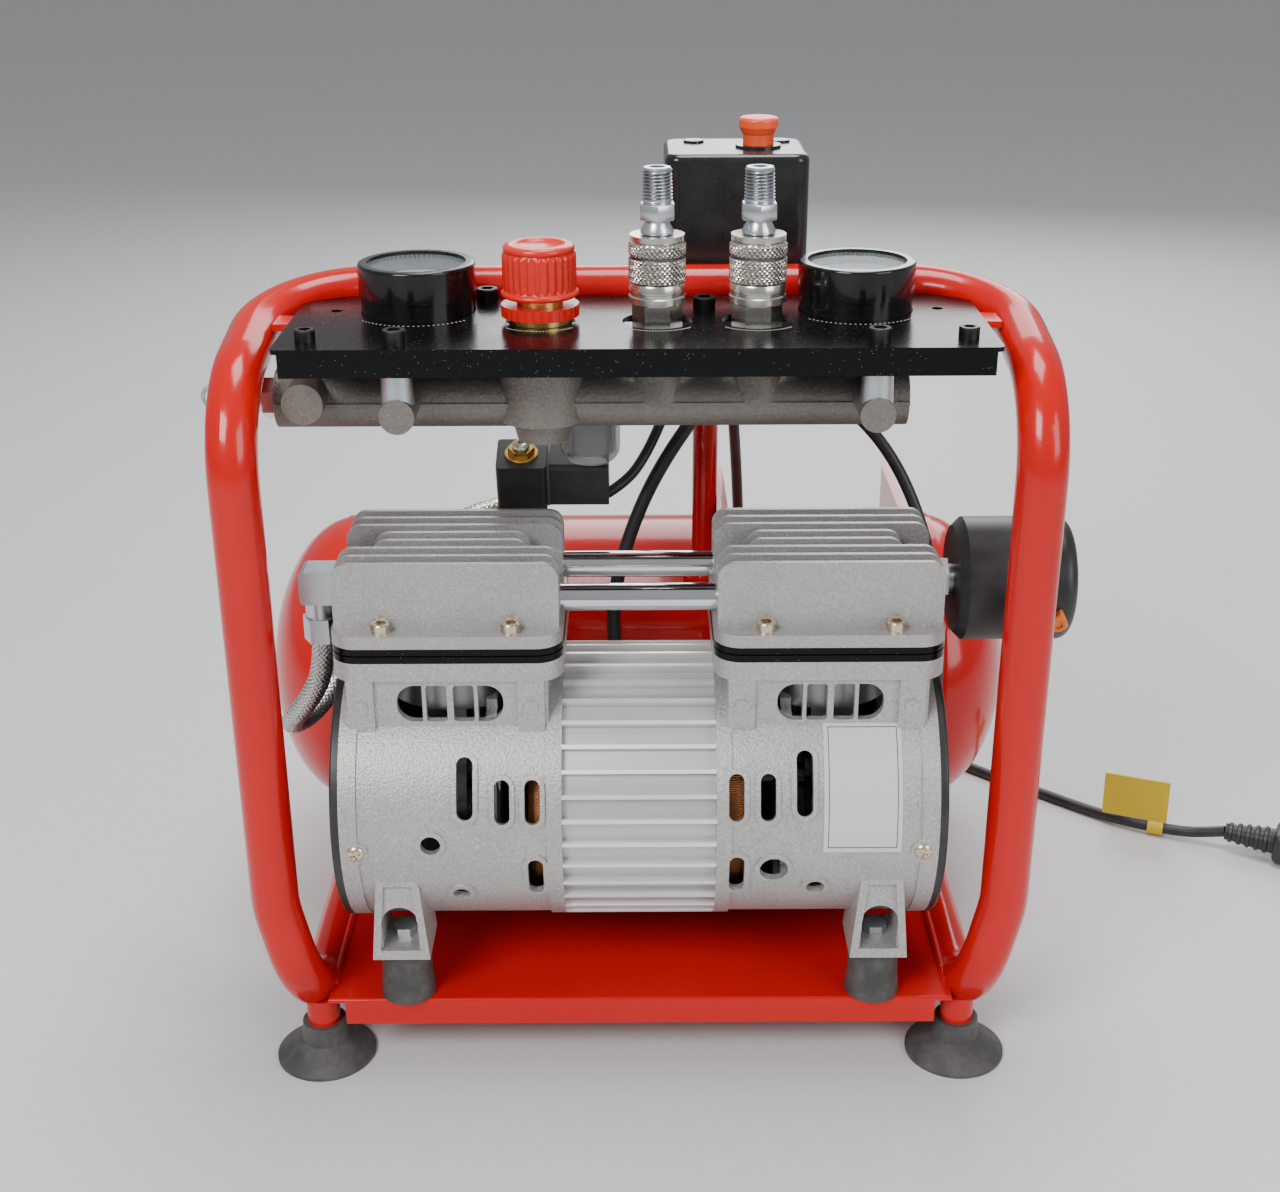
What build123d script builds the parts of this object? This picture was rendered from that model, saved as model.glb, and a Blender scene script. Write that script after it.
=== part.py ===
"""Twin-cylinder oil-free air compressor for an airbrush, in a frame of bent tube.

Millimetres, +Z up, the front faces -Y. The origin is on the floor under the middle of the machine.
"""
from build123d import *
import math
import os

os.makedirs("parts", exist_ok=True)

# ---- frame ----
FRONT = -134.2                 # Y of the two uprights
TUBE_R = 11.0
TUBE_BORE = 9.0
UPRIGHT_X = 170.6
SKID_X = 157.0
SKID_Z = 29.0
SKID_BACK = FRONT + 262.0
KINK_Z = 92.0                   # the uprights lean out from the skids up to here
SHOULDER_Z = 337.4
HANDLE_Y = FRONT + 112.0
HANDLE_Z = 358.0
PLATE_TOP = 38.65
PLATE_T = 2.0
PLATE_BACK = FRONT + 130.0
PLATE_HALF = 150.0
FOOT_X = 155.0
FOOT_YS = (FRONT + 11.5, FRONT + 242.0)

# ---- control panel and what stands on it ----
PANEL_TOP = 358.0
PANEL_T = 2.0
PANEL_HALF = 151.5
PANEL_FRONT = FRONT + 2.4
PANEL_BACK = FRONT + 98.0
PIPE_Y = FRONT + 50.0           # axis of the air manifold
PIPE_Z = 324.0
PIPE_R = 13.0
GAUGE_XS = (-97.5, 97.5)
GAUGE_Y = FRONT + 71.0
BEZEL_R = 26.0
BEZEL_TOP = 380.0
REGULATOR_X = -42.0
KNOB_R = 16.25
COUPLER_XS = (8.8, 52.2)
SLEEVE_R = 12.5
THREAD_R = 6.6
STANDOFF_X = 101.0
STANDOFF_Y = FRONT + 13.0

# ---- motor and pump ----
MOTOR_Y = FRONT + 53.0
MOTOR_Z = 131.6
BARREL_R = 65.8
BARREL_WALL = 3.5
STATOR_HALF = 35.0
CRANKCASE_END = 136.0
COVER_END = 140.0
HEAD_X = 86.0
DECK_BOTTOM = 204.0
DECK_TOP = 213.0
VALVE_PLATE_TOP = 220.0
FLANGE_TOP = 226.0
FIN_TOP = 257.0
FIN_PITCH = 9.8
FIN_COUNT = 8
FIN_T = 2.6
BORE_R = 31.08
PISTON_R = 31.0
CRANK_THROW = 5.0
SHAFT_R = 6.0
RUNNING = 0.05                  # radial clearance of running fits
MOUNT_X = 112.0
MOUNT_YS = (FRONT + 8.5, FRONT + 97.0)
MOUNT_TOP = 67.0

# ---- tank and switch ----
TANK_Y = FRONT + 201.0
TANK_Z = 127.5
TANK_R = 79.5
TANK_WALL = 3.0
TANK_HALF = 158.0
DOME = 45.0
POST_X = 34.5
POST_Y = FRONT + 155.0
SWITCH_X = (13.4, 81.5)
SWITCH_Y = (FRONT + 132.0, FRONT + 187.0)
SWITCH_Z = (330.0, 416.0)
SWITCH_KNOB_X = 58.5
SWITCH_KNOB_Y = FRONT + 158.0
KNOB_STEM_R = 7.4
CHECK_X = -56.0
CHECK_Y = FRONT + 150.0

# ---- power cord ----
CORD_D = 6.5
COIL_MEAN_R = 36.0
COIL_BAND = 13.0
COIL_X = 40.0
COIL_Y = FRONT + 352.0


# ---- helpers ----
def rod_z(radius, low, high, x=0.0, y=0.0):
    return Pos(x, y, (low + high) / 2) * Cylinder(radius, high - low)


def rod_x(radius, left, right, y, z):
    return Pos((left + right) / 2, y, z) * Rot(0, 90, 0) * Cylinder(radius, right - left)


def rod_y(radius, front, back, x, z):
    return Pos(x, (front + back) / 2, z) * Rot(90, 0, 0) * Cylinder(radius, back - front)


def block(x0, x1, y0, y1, z0, z1):
    return Pos((x0 + x1) / 2, (y0 + y1) / 2, (z0 + z1) / 2) * Box(x1 - x0, y1 - y0, z1 - z0)


def cone_z(low_r, high_r, low, high, x=0.0, y=0.0):
    return Pos(x, y, (low + high) / 2) * Cone(low_r, high_r, high - low)


def hex_z(flats, low, high, x=0.0, y=0.0):
    outline = RegularPolygon(flats / 2, 6, major_radius=False)
    return Pos(x, y, low) * extrude(outline, high - low)


def hex_x(flats, left, right, y, z):
    return Pos(left, y, z) * Rot(0, 90, 0) * extrude(RegularPolygon(flats / 2, 6, major_radius=False), right - left)


def rounded_plate(x0, x1, y0, y1, z0, z1, radius):
    outline = RectangleRounded(x1 - x0, y1 - y0, radius)
    return Pos((x0 + x1) / 2, (y0 + y1) / 2, z0) * extrude(outline, z1 - z0)


def tube(path, radius, bore=0.0):
    ring = Circle(radius) - Circle(bore) if bore else Circle(radius)
    return sweep(Plane(path @ 0, z_dir=path % 0) * ring, path=path)


def turned(points, x=0.0, y=0.0):
    """A solid of revolution about a vertical axis, from (radius, height) points."""
    outline = Plane.XZ * make_face(Polyline(*points, close=True))
    return Pos(x, y, 0) * revolve(outline, Axis.Z, 360)


def easy_radii(points):
    """The largest even bend at each corner of a free route: 0.45 of the shorter run."""
    radii = []
    for before, here, after in zip(points, points[1:], points[2:]):
        run_in = Vector(*here) - Vector(*before)
        run_out = Vector(*after) - Vector(*here)
        half_turn = math.radians(run_in.get_angle(run_out)) / 2
        radii.append(0.45 * min(run_in.length, run_out.length) / math.tan(half_turn))
    return radii


def routed(points, radius, name):
    """A flexible lead along a route of straight runs and tangent arcs."""
    radii = easy_radii(points)
    path = FilletPolyline(*points, radius=radii)
    lead = tube(path, radius)
    print(name, "length", round(path.length, 1), "tightest bend", round(min(radii), 1),
          "volume ratio", round(lead.volume / (math.pi * radius ** 2 * path.length), 4))
    return lead


def save(node, *pieces):
    solids = [solid for piece in pieces for solid in piece.solids()]
    export_step(Compound(solids) if len(solids) > 1 else solids[0], f"parts/{node}.step")


def ring_z(outer, inner, low, high, x=0.0, y=0.0):
    return rod_z(outer, low, high, x, y) - rod_z(inner, low, high, x, y)


def both_sides(make):
    return make(-1), make(1)


def cap_screw(x, y, seat, head_r, head_h, shank_r, depth):
    """A socket cap screw: the seat is the underside of its head."""
    screw = rod_z(head_r, seat, seat + head_h, x, y) + rod_z(shank_r, seat - depth, seat, x, y)
    return screw - hex_z(head_r * 1.15, seat + head_h * 0.4, seat + head_h, x, y)


# ---- tubular frame ----
half_route = [
    (SKID_X, SKID_BACK, SKID_Z),
    (SKID_X, FRONT, SKID_Z),
    (UPRIGHT_X, FRONT, KINK_Z),
    (UPRIGHT_X, FRONT, SHOULDER_Z),
    (UPRIGHT_X, HANDLE_Y, HANDLE_Z),
]
frame_route = half_route + [(-x, y, z) for x, y, z in reversed(half_route)]
frame_bends = [42, 60, 44, 50, 50, 44, 60, 42]
frame_path = FilletPolyline(*frame_route, radius=frame_bends)
frame_outer = tube(frame_path, TUBE_R)


def foot_stud(side, y, top):
    x = side * FOOT_X
    return rod_z(4, 4, top, x, y) + rod_z(7, 4, 7, x, y)


base_bolts = [foot_stud(side, y, 40 if y < 0 else 24) for side in (-1, 1) for y in FOOT_YS]
stud_holes = Compound([stud.solid() for stud in base_bolts])
foot_profile = [(0, 3.2), (17, 3.2), (22.5, 0), (24, 0), (24, 1.8), (16, 7), (11.5, 10), (10.5, 20), (0, 20)]
feet = [turned(foot_profile, side * FOOT_X, y) - frame_outer - stud_holes for side in (-1, 1) for y in FOOT_YS]
feet = [max(foot.solids(), key=lambda solid: solid.volume) for foot in feet]
save("rubber_feet", *feet)
tab_z = PANEL_TOP - PANEL_T
frame_bore = tube(frame_path, TUBE_BORE)
frame = frame_outer
for side in (-1, 1):
    frame += rod_z(8, 20, 34, side * FOOT_X, FOOT_YS[0])
    frame += block(side * 148 - 14, side * 148 + 14, FRONT + 10, FRONT + 26, tab_z - 3, tab_z)
    frame += block(side * 148 - 12, side * 148 + 12, FRONT + 54, FRONT + 70, tab_z - 3, tab_z)
frame -= frame_bore
for side in (-1, 1):
    frame += rod_y(TUBE_R, SKID_BACK, SKID_BACK + 2, side * SKID_X, SKID_Z)

mount_bolts = [
    rod_z(3, PLATE_TOP - PLATE_T - 5, MOUNT_TOP + 9, side * MOUNT_X, y)
    + hex_z(10, PLATE_TOP - PLATE_T - 5, PLATE_TOP - PLATE_T, side * MOUNT_X, y)
    + hex_z(10, MOUNT_TOP + 4, MOUNT_TOP + 9, side * MOUNT_X, y)
    for side in (-1, 1) for y in MOUNT_YS
]
mount_holes = Compound([bolt.solid() for bolt in mount_bolts])
base_plate = block(-PLATE_HALF, PLATE_HALF, FRONT, PLATE_BACK, PLATE_TOP - PLATE_T, PLATE_TOP)
for edge in (FRONT, PLATE_BACK - PLATE_T):
    base_plate += block(-PLATE_HALF + 8, PLATE_HALF - 8, edge, edge + PLATE_T, PLATE_TOP - 14, PLATE_TOP)
base_plate = fillet(base_plate.edges().filter_by(Axis.X).group_by(Axis.Z)[-1].sort_by(Axis.Y)[0:1], 1.6)
base_plate = base_plate - frame_outer - mount_holes
save("base_plate", max(base_plate.solids(), key=lambda solid: solid.volume))
save("base_bolts", *base_bolts, *mount_bolts)
mount_profile = [
    (0, PLATE_TOP), (13, PLATE_TOP), (13, PLATE_TOP + 2), (12.1, PLATE_TOP + 11), (11.8, MOUNT_TOP - 5),
    (11.8, MOUNT_TOP - 1), (11.2, MOUNT_TOP), (0, MOUNT_TOP),
]
save("rubber_mounts", *[
    turned(mount_profile, side * MOUNT_X, y) - mount_holes for side in (-1, 1) for y in MOUNT_YS
])

# ---- control panel ----
panel_holes = [rod_z(BEZEL_R - 0.4, 340, 370, x, GAUGE_Y) for x in GAUGE_XS]
panel_holes += [rod_z(15.2, 340, 370, x, PIPE_Y) for x in (REGULATOR_X, *COUPLER_XS)]
panel_holes += [rod_z(2.5, 340, 370, side * 134, FRONT + 70) for side in (-1, 1)]
panel_screws = [cap_screw(side * 139, FRONT + 18, PANEL_TOP, 4.4, 5, 2.5, 10) for side in (-1, 1)]
panel_screws += [cap_screw(x, FRONT + y, PANEL_TOP, 5, 6, 3, 9) for x, y in ((30, 70), (-68, 88))]
panel_screws += [cap_screw(side * STANDOFF_X, STANDOFF_Y, PANEL_TOP, 5, 6, 3, 28) for side in (-1, 1)]
screw_holes = Compound([screw.solid() for screw in panel_screws])
panel = rounded_plate(-PANEL_HALF, PANEL_HALF, PANEL_FRONT, PANEL_BACK, PANEL_TOP - PANEL_T, PANEL_TOP, 3)
for edge in (PANEL_FRONT, PANEL_BACK - PANEL_T):
    panel += block(-PANEL_HALF + 3, PANEL_HALF - 3, edge, edge + PANEL_T, PANEL_TOP - 12, PANEL_TOP)
for hole in panel_holes:
    panel -= hole
frame = frame - screw_holes - stud_holes
save("frame_tube", max(frame.solids(), key=lambda solid: solid.volume))
save("control_panel", panel - screw_holes - tube(frame_path, TUBE_R + 1.5))

# ---- cast air manifold ----
pipe_left = -159.0
pipe_right = 119.0
boss_z = PIPE_Z + 4
manifold = rod_x(PIPE_R, pipe_left, pipe_right, PIPE_Y, PIPE_Z)
manifold += block(pipe_left, pipe_right, PIPE_Y - 14, PIPE_Y + 14, PIPE_Z - 0.8, PIPE_Z + 0.8)
manifold += rod_y(9, FRONT + 25, PIPE_Y, -144, boss_z)
for side in (-1, 1):
    manifold += rod_y(7.5, STANDOFF_Y - 7.5, PIPE_Y, side * STANDOFF_X, boss_z)
for x in GAUGE_XS:
    manifold += rod_z(10, PIPE_Z - 8, PIPE_Z + 15, x, GAUGE_Y)
    manifold += rod_y(9, PIPE_Y, GAUGE_Y, x, PIPE_Z)
manifold += rod_z(20, PIPE_Z - 9, PIPE_Z + 24, REGULATOR_X, PIPE_Y)
manifold += cone_z(11.5, 14, PIPE_Z - 19, PIPE_Z - 9, REGULATOR_X, PIPE_Y)
for x in COUPLER_XS:
    manifold += cone_z(15, 11, PIPE_Z, PIPE_Z + 21, x, PIPE_Y)
bowl_x, bowl_y = -22.0, FRONT + 76.0
manifold += rod_z(13, PIPE_Z - 12, PIPE_Z + 6, bowl_x, bowl_y)
manifold -= rod_x(6, pipe_left, pipe_right - 6, PIPE_Y, PIPE_Z)
manifold -= rod_z(12, PIPE_Z + 2, PIPE_Z + 24, REGULATOR_X, PIPE_Y)
for x in COUPLER_XS:
    manifold -= rod_z(6.5, PIPE_Z + 12, PIPE_Z + 21, x, PIPE_Y)
for x in GAUGE_XS:
    manifold -= rod_z(5, PIPE_Z + 6, PIPE_Z + 15, x, GAUGE_Y)
manifold -= rod_z(4, PIPE_Z - 12, PIPE_Z, bowl_x, bowl_y)
manifold_full = manifold
standoffs = [
    cone_z(7, 6.2, boss_z + 4, PANEL_TOP - PANEL_T, side * STANDOFF_X, STANDOFF_Y) - manifold_full - screw_holes
    for side in (-1, 1)
]
manifold = manifold - screw_holes
save("air_manifold", max(manifold.solids(), key=lambda solid: solid.volume))
save("manifold_standoffs", *[max(post.solids(), key=lambda solid: solid.volume) for post in standoffs])

# ---- filter bowl under the manifold ----
bowl_top = PIPE_Z - 12
bowl = rod_z(14, 285, bowl_top, bowl_x, bowl_y)
bowl = fillet(bowl.edges().group_by(Axis.Z)[0], 8) - rod_z(12, 291, bowl_top, bowl_x, bowl_y)
save("filter_bowl", bowl)

# ---- safety valve on the manifold's left end ----
valve_end = pipe_left - 19.0
save("safety_valve", hex_x(16, pipe_left - 6, pipe_left, PIPE_Y, PIPE_Z)
     + rod_x(6.5, valve_end, pipe_left - 6, PIPE_Y, PIPE_Z)
     + rod_x(6, pipe_left, pipe_left + 8, PIPE_Y, PIPE_Z)
     - rod_x(2, valve_end, pipe_left - 4, PIPE_Y, PIPE_Z))
pull_ring = Pos(valve_end - 8.5, PIPE_Y, PIPE_Z) * Rot(90, 0, 0) * Torus(6, 0.9)
save("safety_ring", pull_ring + rod_x(2 - RUNNING, valve_end - 3, valve_end + 9, PIPE_Y, PIPE_Z))

# ---- pressure gauges ----
dial_z = 371.0


def gauge_case(x):
    case = rod_z(BEZEL_R - 0.8, 352, 366, x, GAUGE_Y) + rod_z(BEZEL_R, 366, BEZEL_TOP, x, GAUGE_Y)
    case = fillet(case.edges().group_by(Axis.Z)[-1], 1.2)
    case += rod_z(7, PIPE_Z + 15, 352, x, GAUGE_Y) + rod_z(5, PIPE_Z + 7, PIPE_Z + 15, x, GAUGE_Y)
    case -= rod_z(23.4, 355, 378.5, x, GAUGE_Y)
    return case - rod_z(22, 378.5, BEZEL_TOP, x, GAUGE_Y)


def gauge_needle(x):
    pointer = make_face(Polyline((-7, -1.4), (0, -0.9), (19, -0.25), (19, 0.25), (0, 0.9), (-7, 1.4), close=True))
    needle = Pos(x, GAUGE_Y, dial_z + 1.6) * Rot(0, 0, 225) * extrude(pointer, 0.7)
    needle += rod_z(2.2, dial_z + 0.8, dial_z + 3, x, GAUGE_Y)
    return needle + rod_z(1, dial_z - 4, dial_z + 1, x, GAUGE_Y)


for name, x in zip(("left", "right"), GAUGE_XS):
    save(f"{name}_gauge_needle", gauge_needle(x))
save("gauge_cases", *[gauge_case(x) for x in GAUGE_XS])
save("gauge_dials", *[
    rod_z(23.4, dial_z - 1, dial_z, x, GAUGE_Y) - rod_z(1 + RUNNING, dial_z - 1, dial_z, x, GAUGE_Y)
    for x in GAUGE_XS
])
save("gauge_lenses", *[rod_z(23.4, 376.7, 378.5, x, GAUGE_Y) for x in GAUGE_XS])

# ---- pressure regulator ----
boss_top = PIPE_Z + 24
body = rod_z(14, boss_top, 361, REGULATOR_X, PIPE_Y) + rod_z(10, 361, 369, REGULATOR_X, PIPE_Y)
body += rod_z(6, 369, 386, REGULATOR_X, PIPE_Y) + rod_z(12, boss_top - 3, boss_top, REGULATOR_X, PIPE_Y)
spring_path = Pos(REGULATOR_X, PIPE_Y, PIPE_Z + 4.2) * Helix(4.0, 15.6, 8)
save("regulator_bonnet", body, tube(spring_path, 1.0))
ring = rod_z(17, 361, 366, REGULATOR_X, PIPE_Y) - rod_z(10, 361, 366, REGULATOR_X, PIPE_Y)
for index in range(30):
    ring -= Pos(REGULATOR_X, PIPE_Y, 363.5) * Rot(0, 0, index * 12) * Pos(17.2, 0, 0) * Box(1.4, 1.4, 6)
save("regulator_lock_ring", ring)
knob = rod_z(KNOB_R, 369.4, 392, REGULATOR_X, PIPE_Y)
knob = chamfer(knob.edges().group_by(Axis.Z)[-1], 2.2)
for index in range(24):
    knob -= Pos(REGULATOR_X, PIPE_Y, 379) * Rot(0, 0, index * 15) * Pos(KNOB_R, 0, 0) * Box(1.6, 2.0, 18)
knob -= rod_z(6 + RUNNING, 369.4, 386.5, REGULATOR_X, PIPE_Y)
save("regulator_knob", knob)

# ---- quick couplers and their nipples ----
sleeve_low, sleeve_step, sleeve_top = 366.0, 384.0, 393.0
body_r = 9.5
plug_r = 5.8


def coupler_body(x):
    body = hex_z(19, PIPE_Z + 21, sleeve_low, x, PIPE_Y) + rod_z(6.5, PIPE_Z + 13, PIPE_Z + 21, x, PIPE_Y)
    body += rod_z(body_r, sleeve_low, sleeve_top + 0.4, x, PIPE_Y)
    body -= rod_z(plug_r + RUNNING, 372, sleeve_top + 0.4, x, PIPE_Y)
    return body - rod_z(3, PIPE_Z + 13, 372, x, PIPE_Y)


def coupler_sleeve(x):
    sleeve = rod_z(SLEEVE_R, sleeve_low + 0.3, sleeve_top, x, PIPE_Y)
    sleeve = chamfer(sleeve.edges(), 0.6)
    sleeve -= rod_z(11.25, sleeve_low + 0.3, sleeve_step, x, PIPE_Y)
    return sleeve - rod_z(body_r + RUNNING, sleeve_step, sleeve_top, x, PIPE_Y)


def coupler_ring(x):
    ring_top = rod_z(11.8, sleeve_top + 0.4, sleeve_top + 2.8, x, PIPE_Y)
    return ring_top - rod_z(plug_r + 0.4, sleeve_top + 0.4, sleeve_top + 2.8, x, PIPE_Y)


def nipple(x):
    piece = rod_z(plug_r, 375, 395.8, x, PIPE_Y) + cone_z(plug_r + 1.5, 4.8, 396.2, 402, x, PIPE_Y)
    piece += rod_z(plug_r, 395.8, 396.2, x, PIPE_Y)
    piece += hex_z(14.6, 402, 409, x, PIPE_Y) + rod_z(THREAD_R, 409, 424, x, PIPE_Y)
    return piece - rod_z(3.4, 375, 424, x, PIPE_Y)


save("coupler_bodies", *[coupler_body(x) for x in COUPLER_XS], *[coupler_ring(x) for x in COUPLER_XS])
for name, x in zip(("left", "right"), COUPLER_XS):
    save(f"{name}_coupler_sleeve", coupler_sleeve(x))
    save(f"{name}_nipple", nipple(x))

# ---- tank ----
def tank_solid(radius, dome):
    """One domed half, turned about the tank's axis, and its mirror image."""
    outline = [
        Line((0, 0), (TANK_HALF + dome, 0)),
        EllipticalCenterArc((TANK_HALF, 0), dome, radius, start_angle=0, arc_size=90),
        Line((TANK_HALF, radius), (0, radius)),
        Line((0, radius), (0, 0)),
    ]
    half = revolve(make_face(Curve() + outline), Axis.X, 360)
    return Pos(0, TANK_Y, TANK_Z) * (half + mirror(half, Plane.YZ))


tank_outer = tank_solid(TANK_R, DOME)
tank_inner = tank_solid(TANK_R - TANK_WALL, DOME - TANK_WALL)
drain_x = 135.0
tank_bottom = TANK_Z - TANK_R
tank_skin = tank_outer
for side in (-1, 1):
    tank_skin += rod_x(TANK_R + 0.7, side * TANK_HALF - 3, side * TANK_HALF + 3, TANK_Y, TANK_Z)
tank = tank_skin + rod_z(11, 182, 197, POST_X, POST_Y) + rod_z(10, 178, 196, CHECK_X, CHECK_Y)
tank += rod_z(10, tank_bottom - 3, tank_bottom + 8, drain_x, TANK_Y)
wrap = rod_x(TANK_R + 2.5, 43, 136, TANK_Y, TANK_Z)
wrap = wrap & block(40, 140, TANK_Y - 90, TANK_Y + 12, TANK_Z + 32, TANK_Z + 90)
for flange_x in (43, 133):
    wrap += block(flange_x, flange_x + 3, TANK_Y - 63, TANK_Y + 6, TANK_Z + 48, TANK_Z + 110)
wrap += block(43, 136, TANK_Y - 66, TANK_Y - 63, TANK_Z + 46, TANK_Z + 110)
tank += wrap - tank_outer
for side in (-1, 1):
    tank += block(side * 157 - 7, side * 157 + 7, TANK_Y - 36, TANK_Y + 36, 30, 72) - frame_outer
tank = tank - tank_inner - rod_z(6.4, 170, 222, POST_X, POST_Y) - rod_z(6, 170, 222, CHECK_X, CHECK_Y)
tank -= rod_z(5, tank_bottom - 10, tank_bottom + 10, drain_x, TANK_Y)
save("air_tank", max(tank.solids(), key=lambda solid: solid.volume))
drain_knob = rod_z(9, 19, 34.6, drain_x, TANK_Y) + rod_z(2.5 - RUNNING, 34.6, 42, drain_x, TANK_Y)
for dent_x in (drain_x - 15, drain_x + 6.5):
    drain_knob -= rod_x(3, dent_x, dent_x + 8.5, TANK_Y, 26)
save("drain_knob", drain_knob)

# ---- switch post, check valve and unloader solenoid ----
save("switch_post", ring_z(6.4, 4.4, 183, SWITCH_Z[0], POST_X, POST_Y))
check_valve = rod_z(6, 180, 196, CHECK_X, CHECK_Y) + hex_z(19, 196, 212, CHECK_X, CHECK_Y)
check_valve += rod_z(8, 212, 252, CHECK_X, CHECK_Y) + rod_x(6, CHECK_X - 14, CHECK_X, CHECK_Y, 236)
drain_valve = rod_z(5, 40, tank_bottom + 8, drain_x, TANK_Y) + hex_z(17, 35, 45, drain_x, TANK_Y)
save("tank_fittings", check_valve, drain_valve - rod_z(2.5, 35, 60, drain_x, TANK_Y))
coil_y = FRONT + 112.0
valve_top = 252.0
valve_block = block(CHECK_X - 9, CHECK_X + 9, coil_y - 9, coil_y + 11, valve_top - 16, valve_top)
valve_block += rod_y(5, coil_y + 11, CHECK_Y, CHECK_X, valve_top - 8) - check_valve
tilt = Pos(CHECK_X, coil_y + 1, valve_top) * Rot(18, 0, 0)
coil_space = tilt * Pos(0, 0, 16) * Box(24, 24, 26)
stem = tilt * Pos(0, 0, 15.5) * Cylinder(4.5, 31)
valve_block = valve_block + tilt * Cylinder(8, 8) - coil_space + stem
nut = tilt * Pos(0, 0, 29) * extrude(RegularPolygon(6.5, 6), 4) - stem
solenoid_coil = tilt * Pos(0, 0, 16) * fillet(Box(24, 24, 26).edges().filter_by(Axis.Z), 2) - stem
connector = tilt * Pos(27, 0, 17) * fillet(Box(30, 22, 24).edges().filter_by(Axis.X), 2.5)
save("solenoid_valve", valve_block, nut)
save("solenoid_coil", solenoid_coil, connector)

# ---- pressure switch ----
def switch_block(inset, low, high):
    return block(SWITCH_X[0] + inset, SWITCH_X[1] - inset, SWITCH_Y[0] + inset, SWITCH_Y[1] - inset, low, high)


cover_low = SWITCH_Z[0] + 8
base = fillet(switch_block(1.5, SWITCH_Z[0], cover_low).edges().filter_by(Axis.Z), 6)
base += switch_block(12, cover_low, cover_low + 46)
save("switch_base", base)
cover = fillet(switch_block(0, cover_low, SWITCH_Z[1]).edges().filter_by(Axis.Z), 7)
cover = fillet(cover.edges().group_by(Axis.Z)[-1], 3.5)
cover += rod_z(11, SWITCH_Z[1] - 3, SWITCH_Z[1] + 1.2, SWITCH_KNOB_X, SWITCH_KNOB_Y)
for x in (28.0, 70.0):
    cover += rod_z(5, SWITCH_Z[1] - 3, SWITCH_Z[1] + 1, x, SWITCH_Y[0] + 42)
cover -= switch_block(2.2, cover_low, SWITCH_Z[1] - 2.4)
cover -= rod_z(KNOB_STEM_R + RUNNING, SWITCH_Z[1] - 5, SWITCH_Z[1] + 2, SWITCH_KNOB_X, SWITCH_KNOB_Y)
save("switch_cover", cover)
knob_low = SWITCH_Z[1] + 6.4
switch_knob = cone_z(8, 9.5, knob_low, knob_low + 3, SWITCH_KNOB_X, SWITCH_KNOB_Y)
switch_knob += fillet(rod_z(9.5, knob_low + 3, knob_low + 7.6, SWITCH_KNOB_X, SWITCH_KNOB_Y).edges()
                      .group_by(Axis.Z)[-1], 1.8)
switch_knob += rod_z(KNOB_STEM_R, SWITCH_Z[1] - 10, knob_low, SWITCH_KNOB_X, SWITCH_KNOB_Y)
save("switch_knob", switch_knob)

# ---- motor: finned stator between two crankcases ----
stator = rod_x(BARREL_R - 4.3, -STATOR_HALF, STATOR_HALF, MOTOR_Y, MOTOR_Z)
fin_total = 36
for index in range(fin_total):
    spin = Rot(index * 360 / fin_total, 0, 0)
    stator += Pos(0, MOTOR_Y, MOTOR_Z) * spin * Pos(0, 0, BARREL_R - 3) * Box(2 * STATOR_HALF, 1.9, 6)
stator -= rod_x(58, -STATOR_HALF, STATOR_HALF, MOTOR_Y, MOTOR_Z)
save("stator_housing", stator)
save("stator_core", rod_x(58, -32, 32, MOTOR_Y, MOTOR_Z) - rod_x(32, -32, 32, MOTOR_Y, MOTOR_Z))


def ring_x(outer, inner, left, right):
    return rod_x(outer, left, right, MOTOR_Y, MOTOR_Z) - rod_x(inner, left, right, MOTOR_Y, MOTOR_Z)


def winding(side):
    left, right = sorted((side * 32, side * 51))
    return fillet(ring_x(55, 36, left, right).edges(), 5)


save("stator_windings", *both_sides(winding))


def slot_through(x, low_angle, high_angle, width, depth):
    """A rounded slot through the front of the barrel, between two angles above the horizontal."""
    mid = (low_angle + high_angle) / 2
    span = math.radians(high_angle - low_angle) * BARREL_R
    y = MOTOR_Y - BARREL_R * math.cos(math.radians(mid))
    z = MOTOR_Z + BARREL_R * math.sin(math.radians(mid))
    outline = Rot(0, 0, 90) * SlotOverall(span, width) if span > width + 0.5 else Circle(width / 2)
    return Pos(x, y, z) * Rot(90 - mid, 0, 0) * extrude(outline, depth, both=True)


vents = [
    (-78.8, 11, 36, 7.5), (-62.0, 9, 27, 7), (-48.3, 9, 27, 7), (-47.5, -26, -7, 7),
    (-94.9, -4, 4, 9.2), (-82.4, -30.5, -23.5, 8.0),
    (44.0, 10, 29, 7), (58.3, 10, 29, 7), (74.8, 12, 38, 7.5), (44.5, -25, -6, 7),
    (61.4, -18, -7, 13), (81.0, -27, -19.5, 8.5),
]


def leg(side, mount_y):
    """A cast foot: wider at the bottom, open at the front and back over its bolt."""
    front = mount_y - 16.5 if mount_y < MOTOR_Y else mount_y - 13
    back = mount_y + 13
    outline = Polyline((-13.5, MOUNT_TOP), (13.5, MOUNT_TOP), (9.5, 112), (-9.5, 112), close=True)
    solid = Pos(side * MOUNT_X, back, 0) * Rot(90, 0, 0) * extrude(make_face(outline), back - front)
    pocket = Polyline((-9.5, MOUNT_TOP + 5), (9.5, MOUNT_TOP + 5), (6.5, 107), (-6.5, 107), close=True)
    solid -= Pos(side * MOUNT_X, front + 2, 0) * Rot(90, 0, 0) * extrude(make_face(pocket), 4)
    window = block(side * MOUNT_X - 8.5, side * MOUNT_X + 8.5, front - 1, back + 1, MOUNT_TOP + 5, MOUNT_TOP + 19)
    window += rod_y(8.5, front - 1, back + 1, side * MOUNT_X, MOUNT_TOP + 19)
    return solid - window


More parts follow.
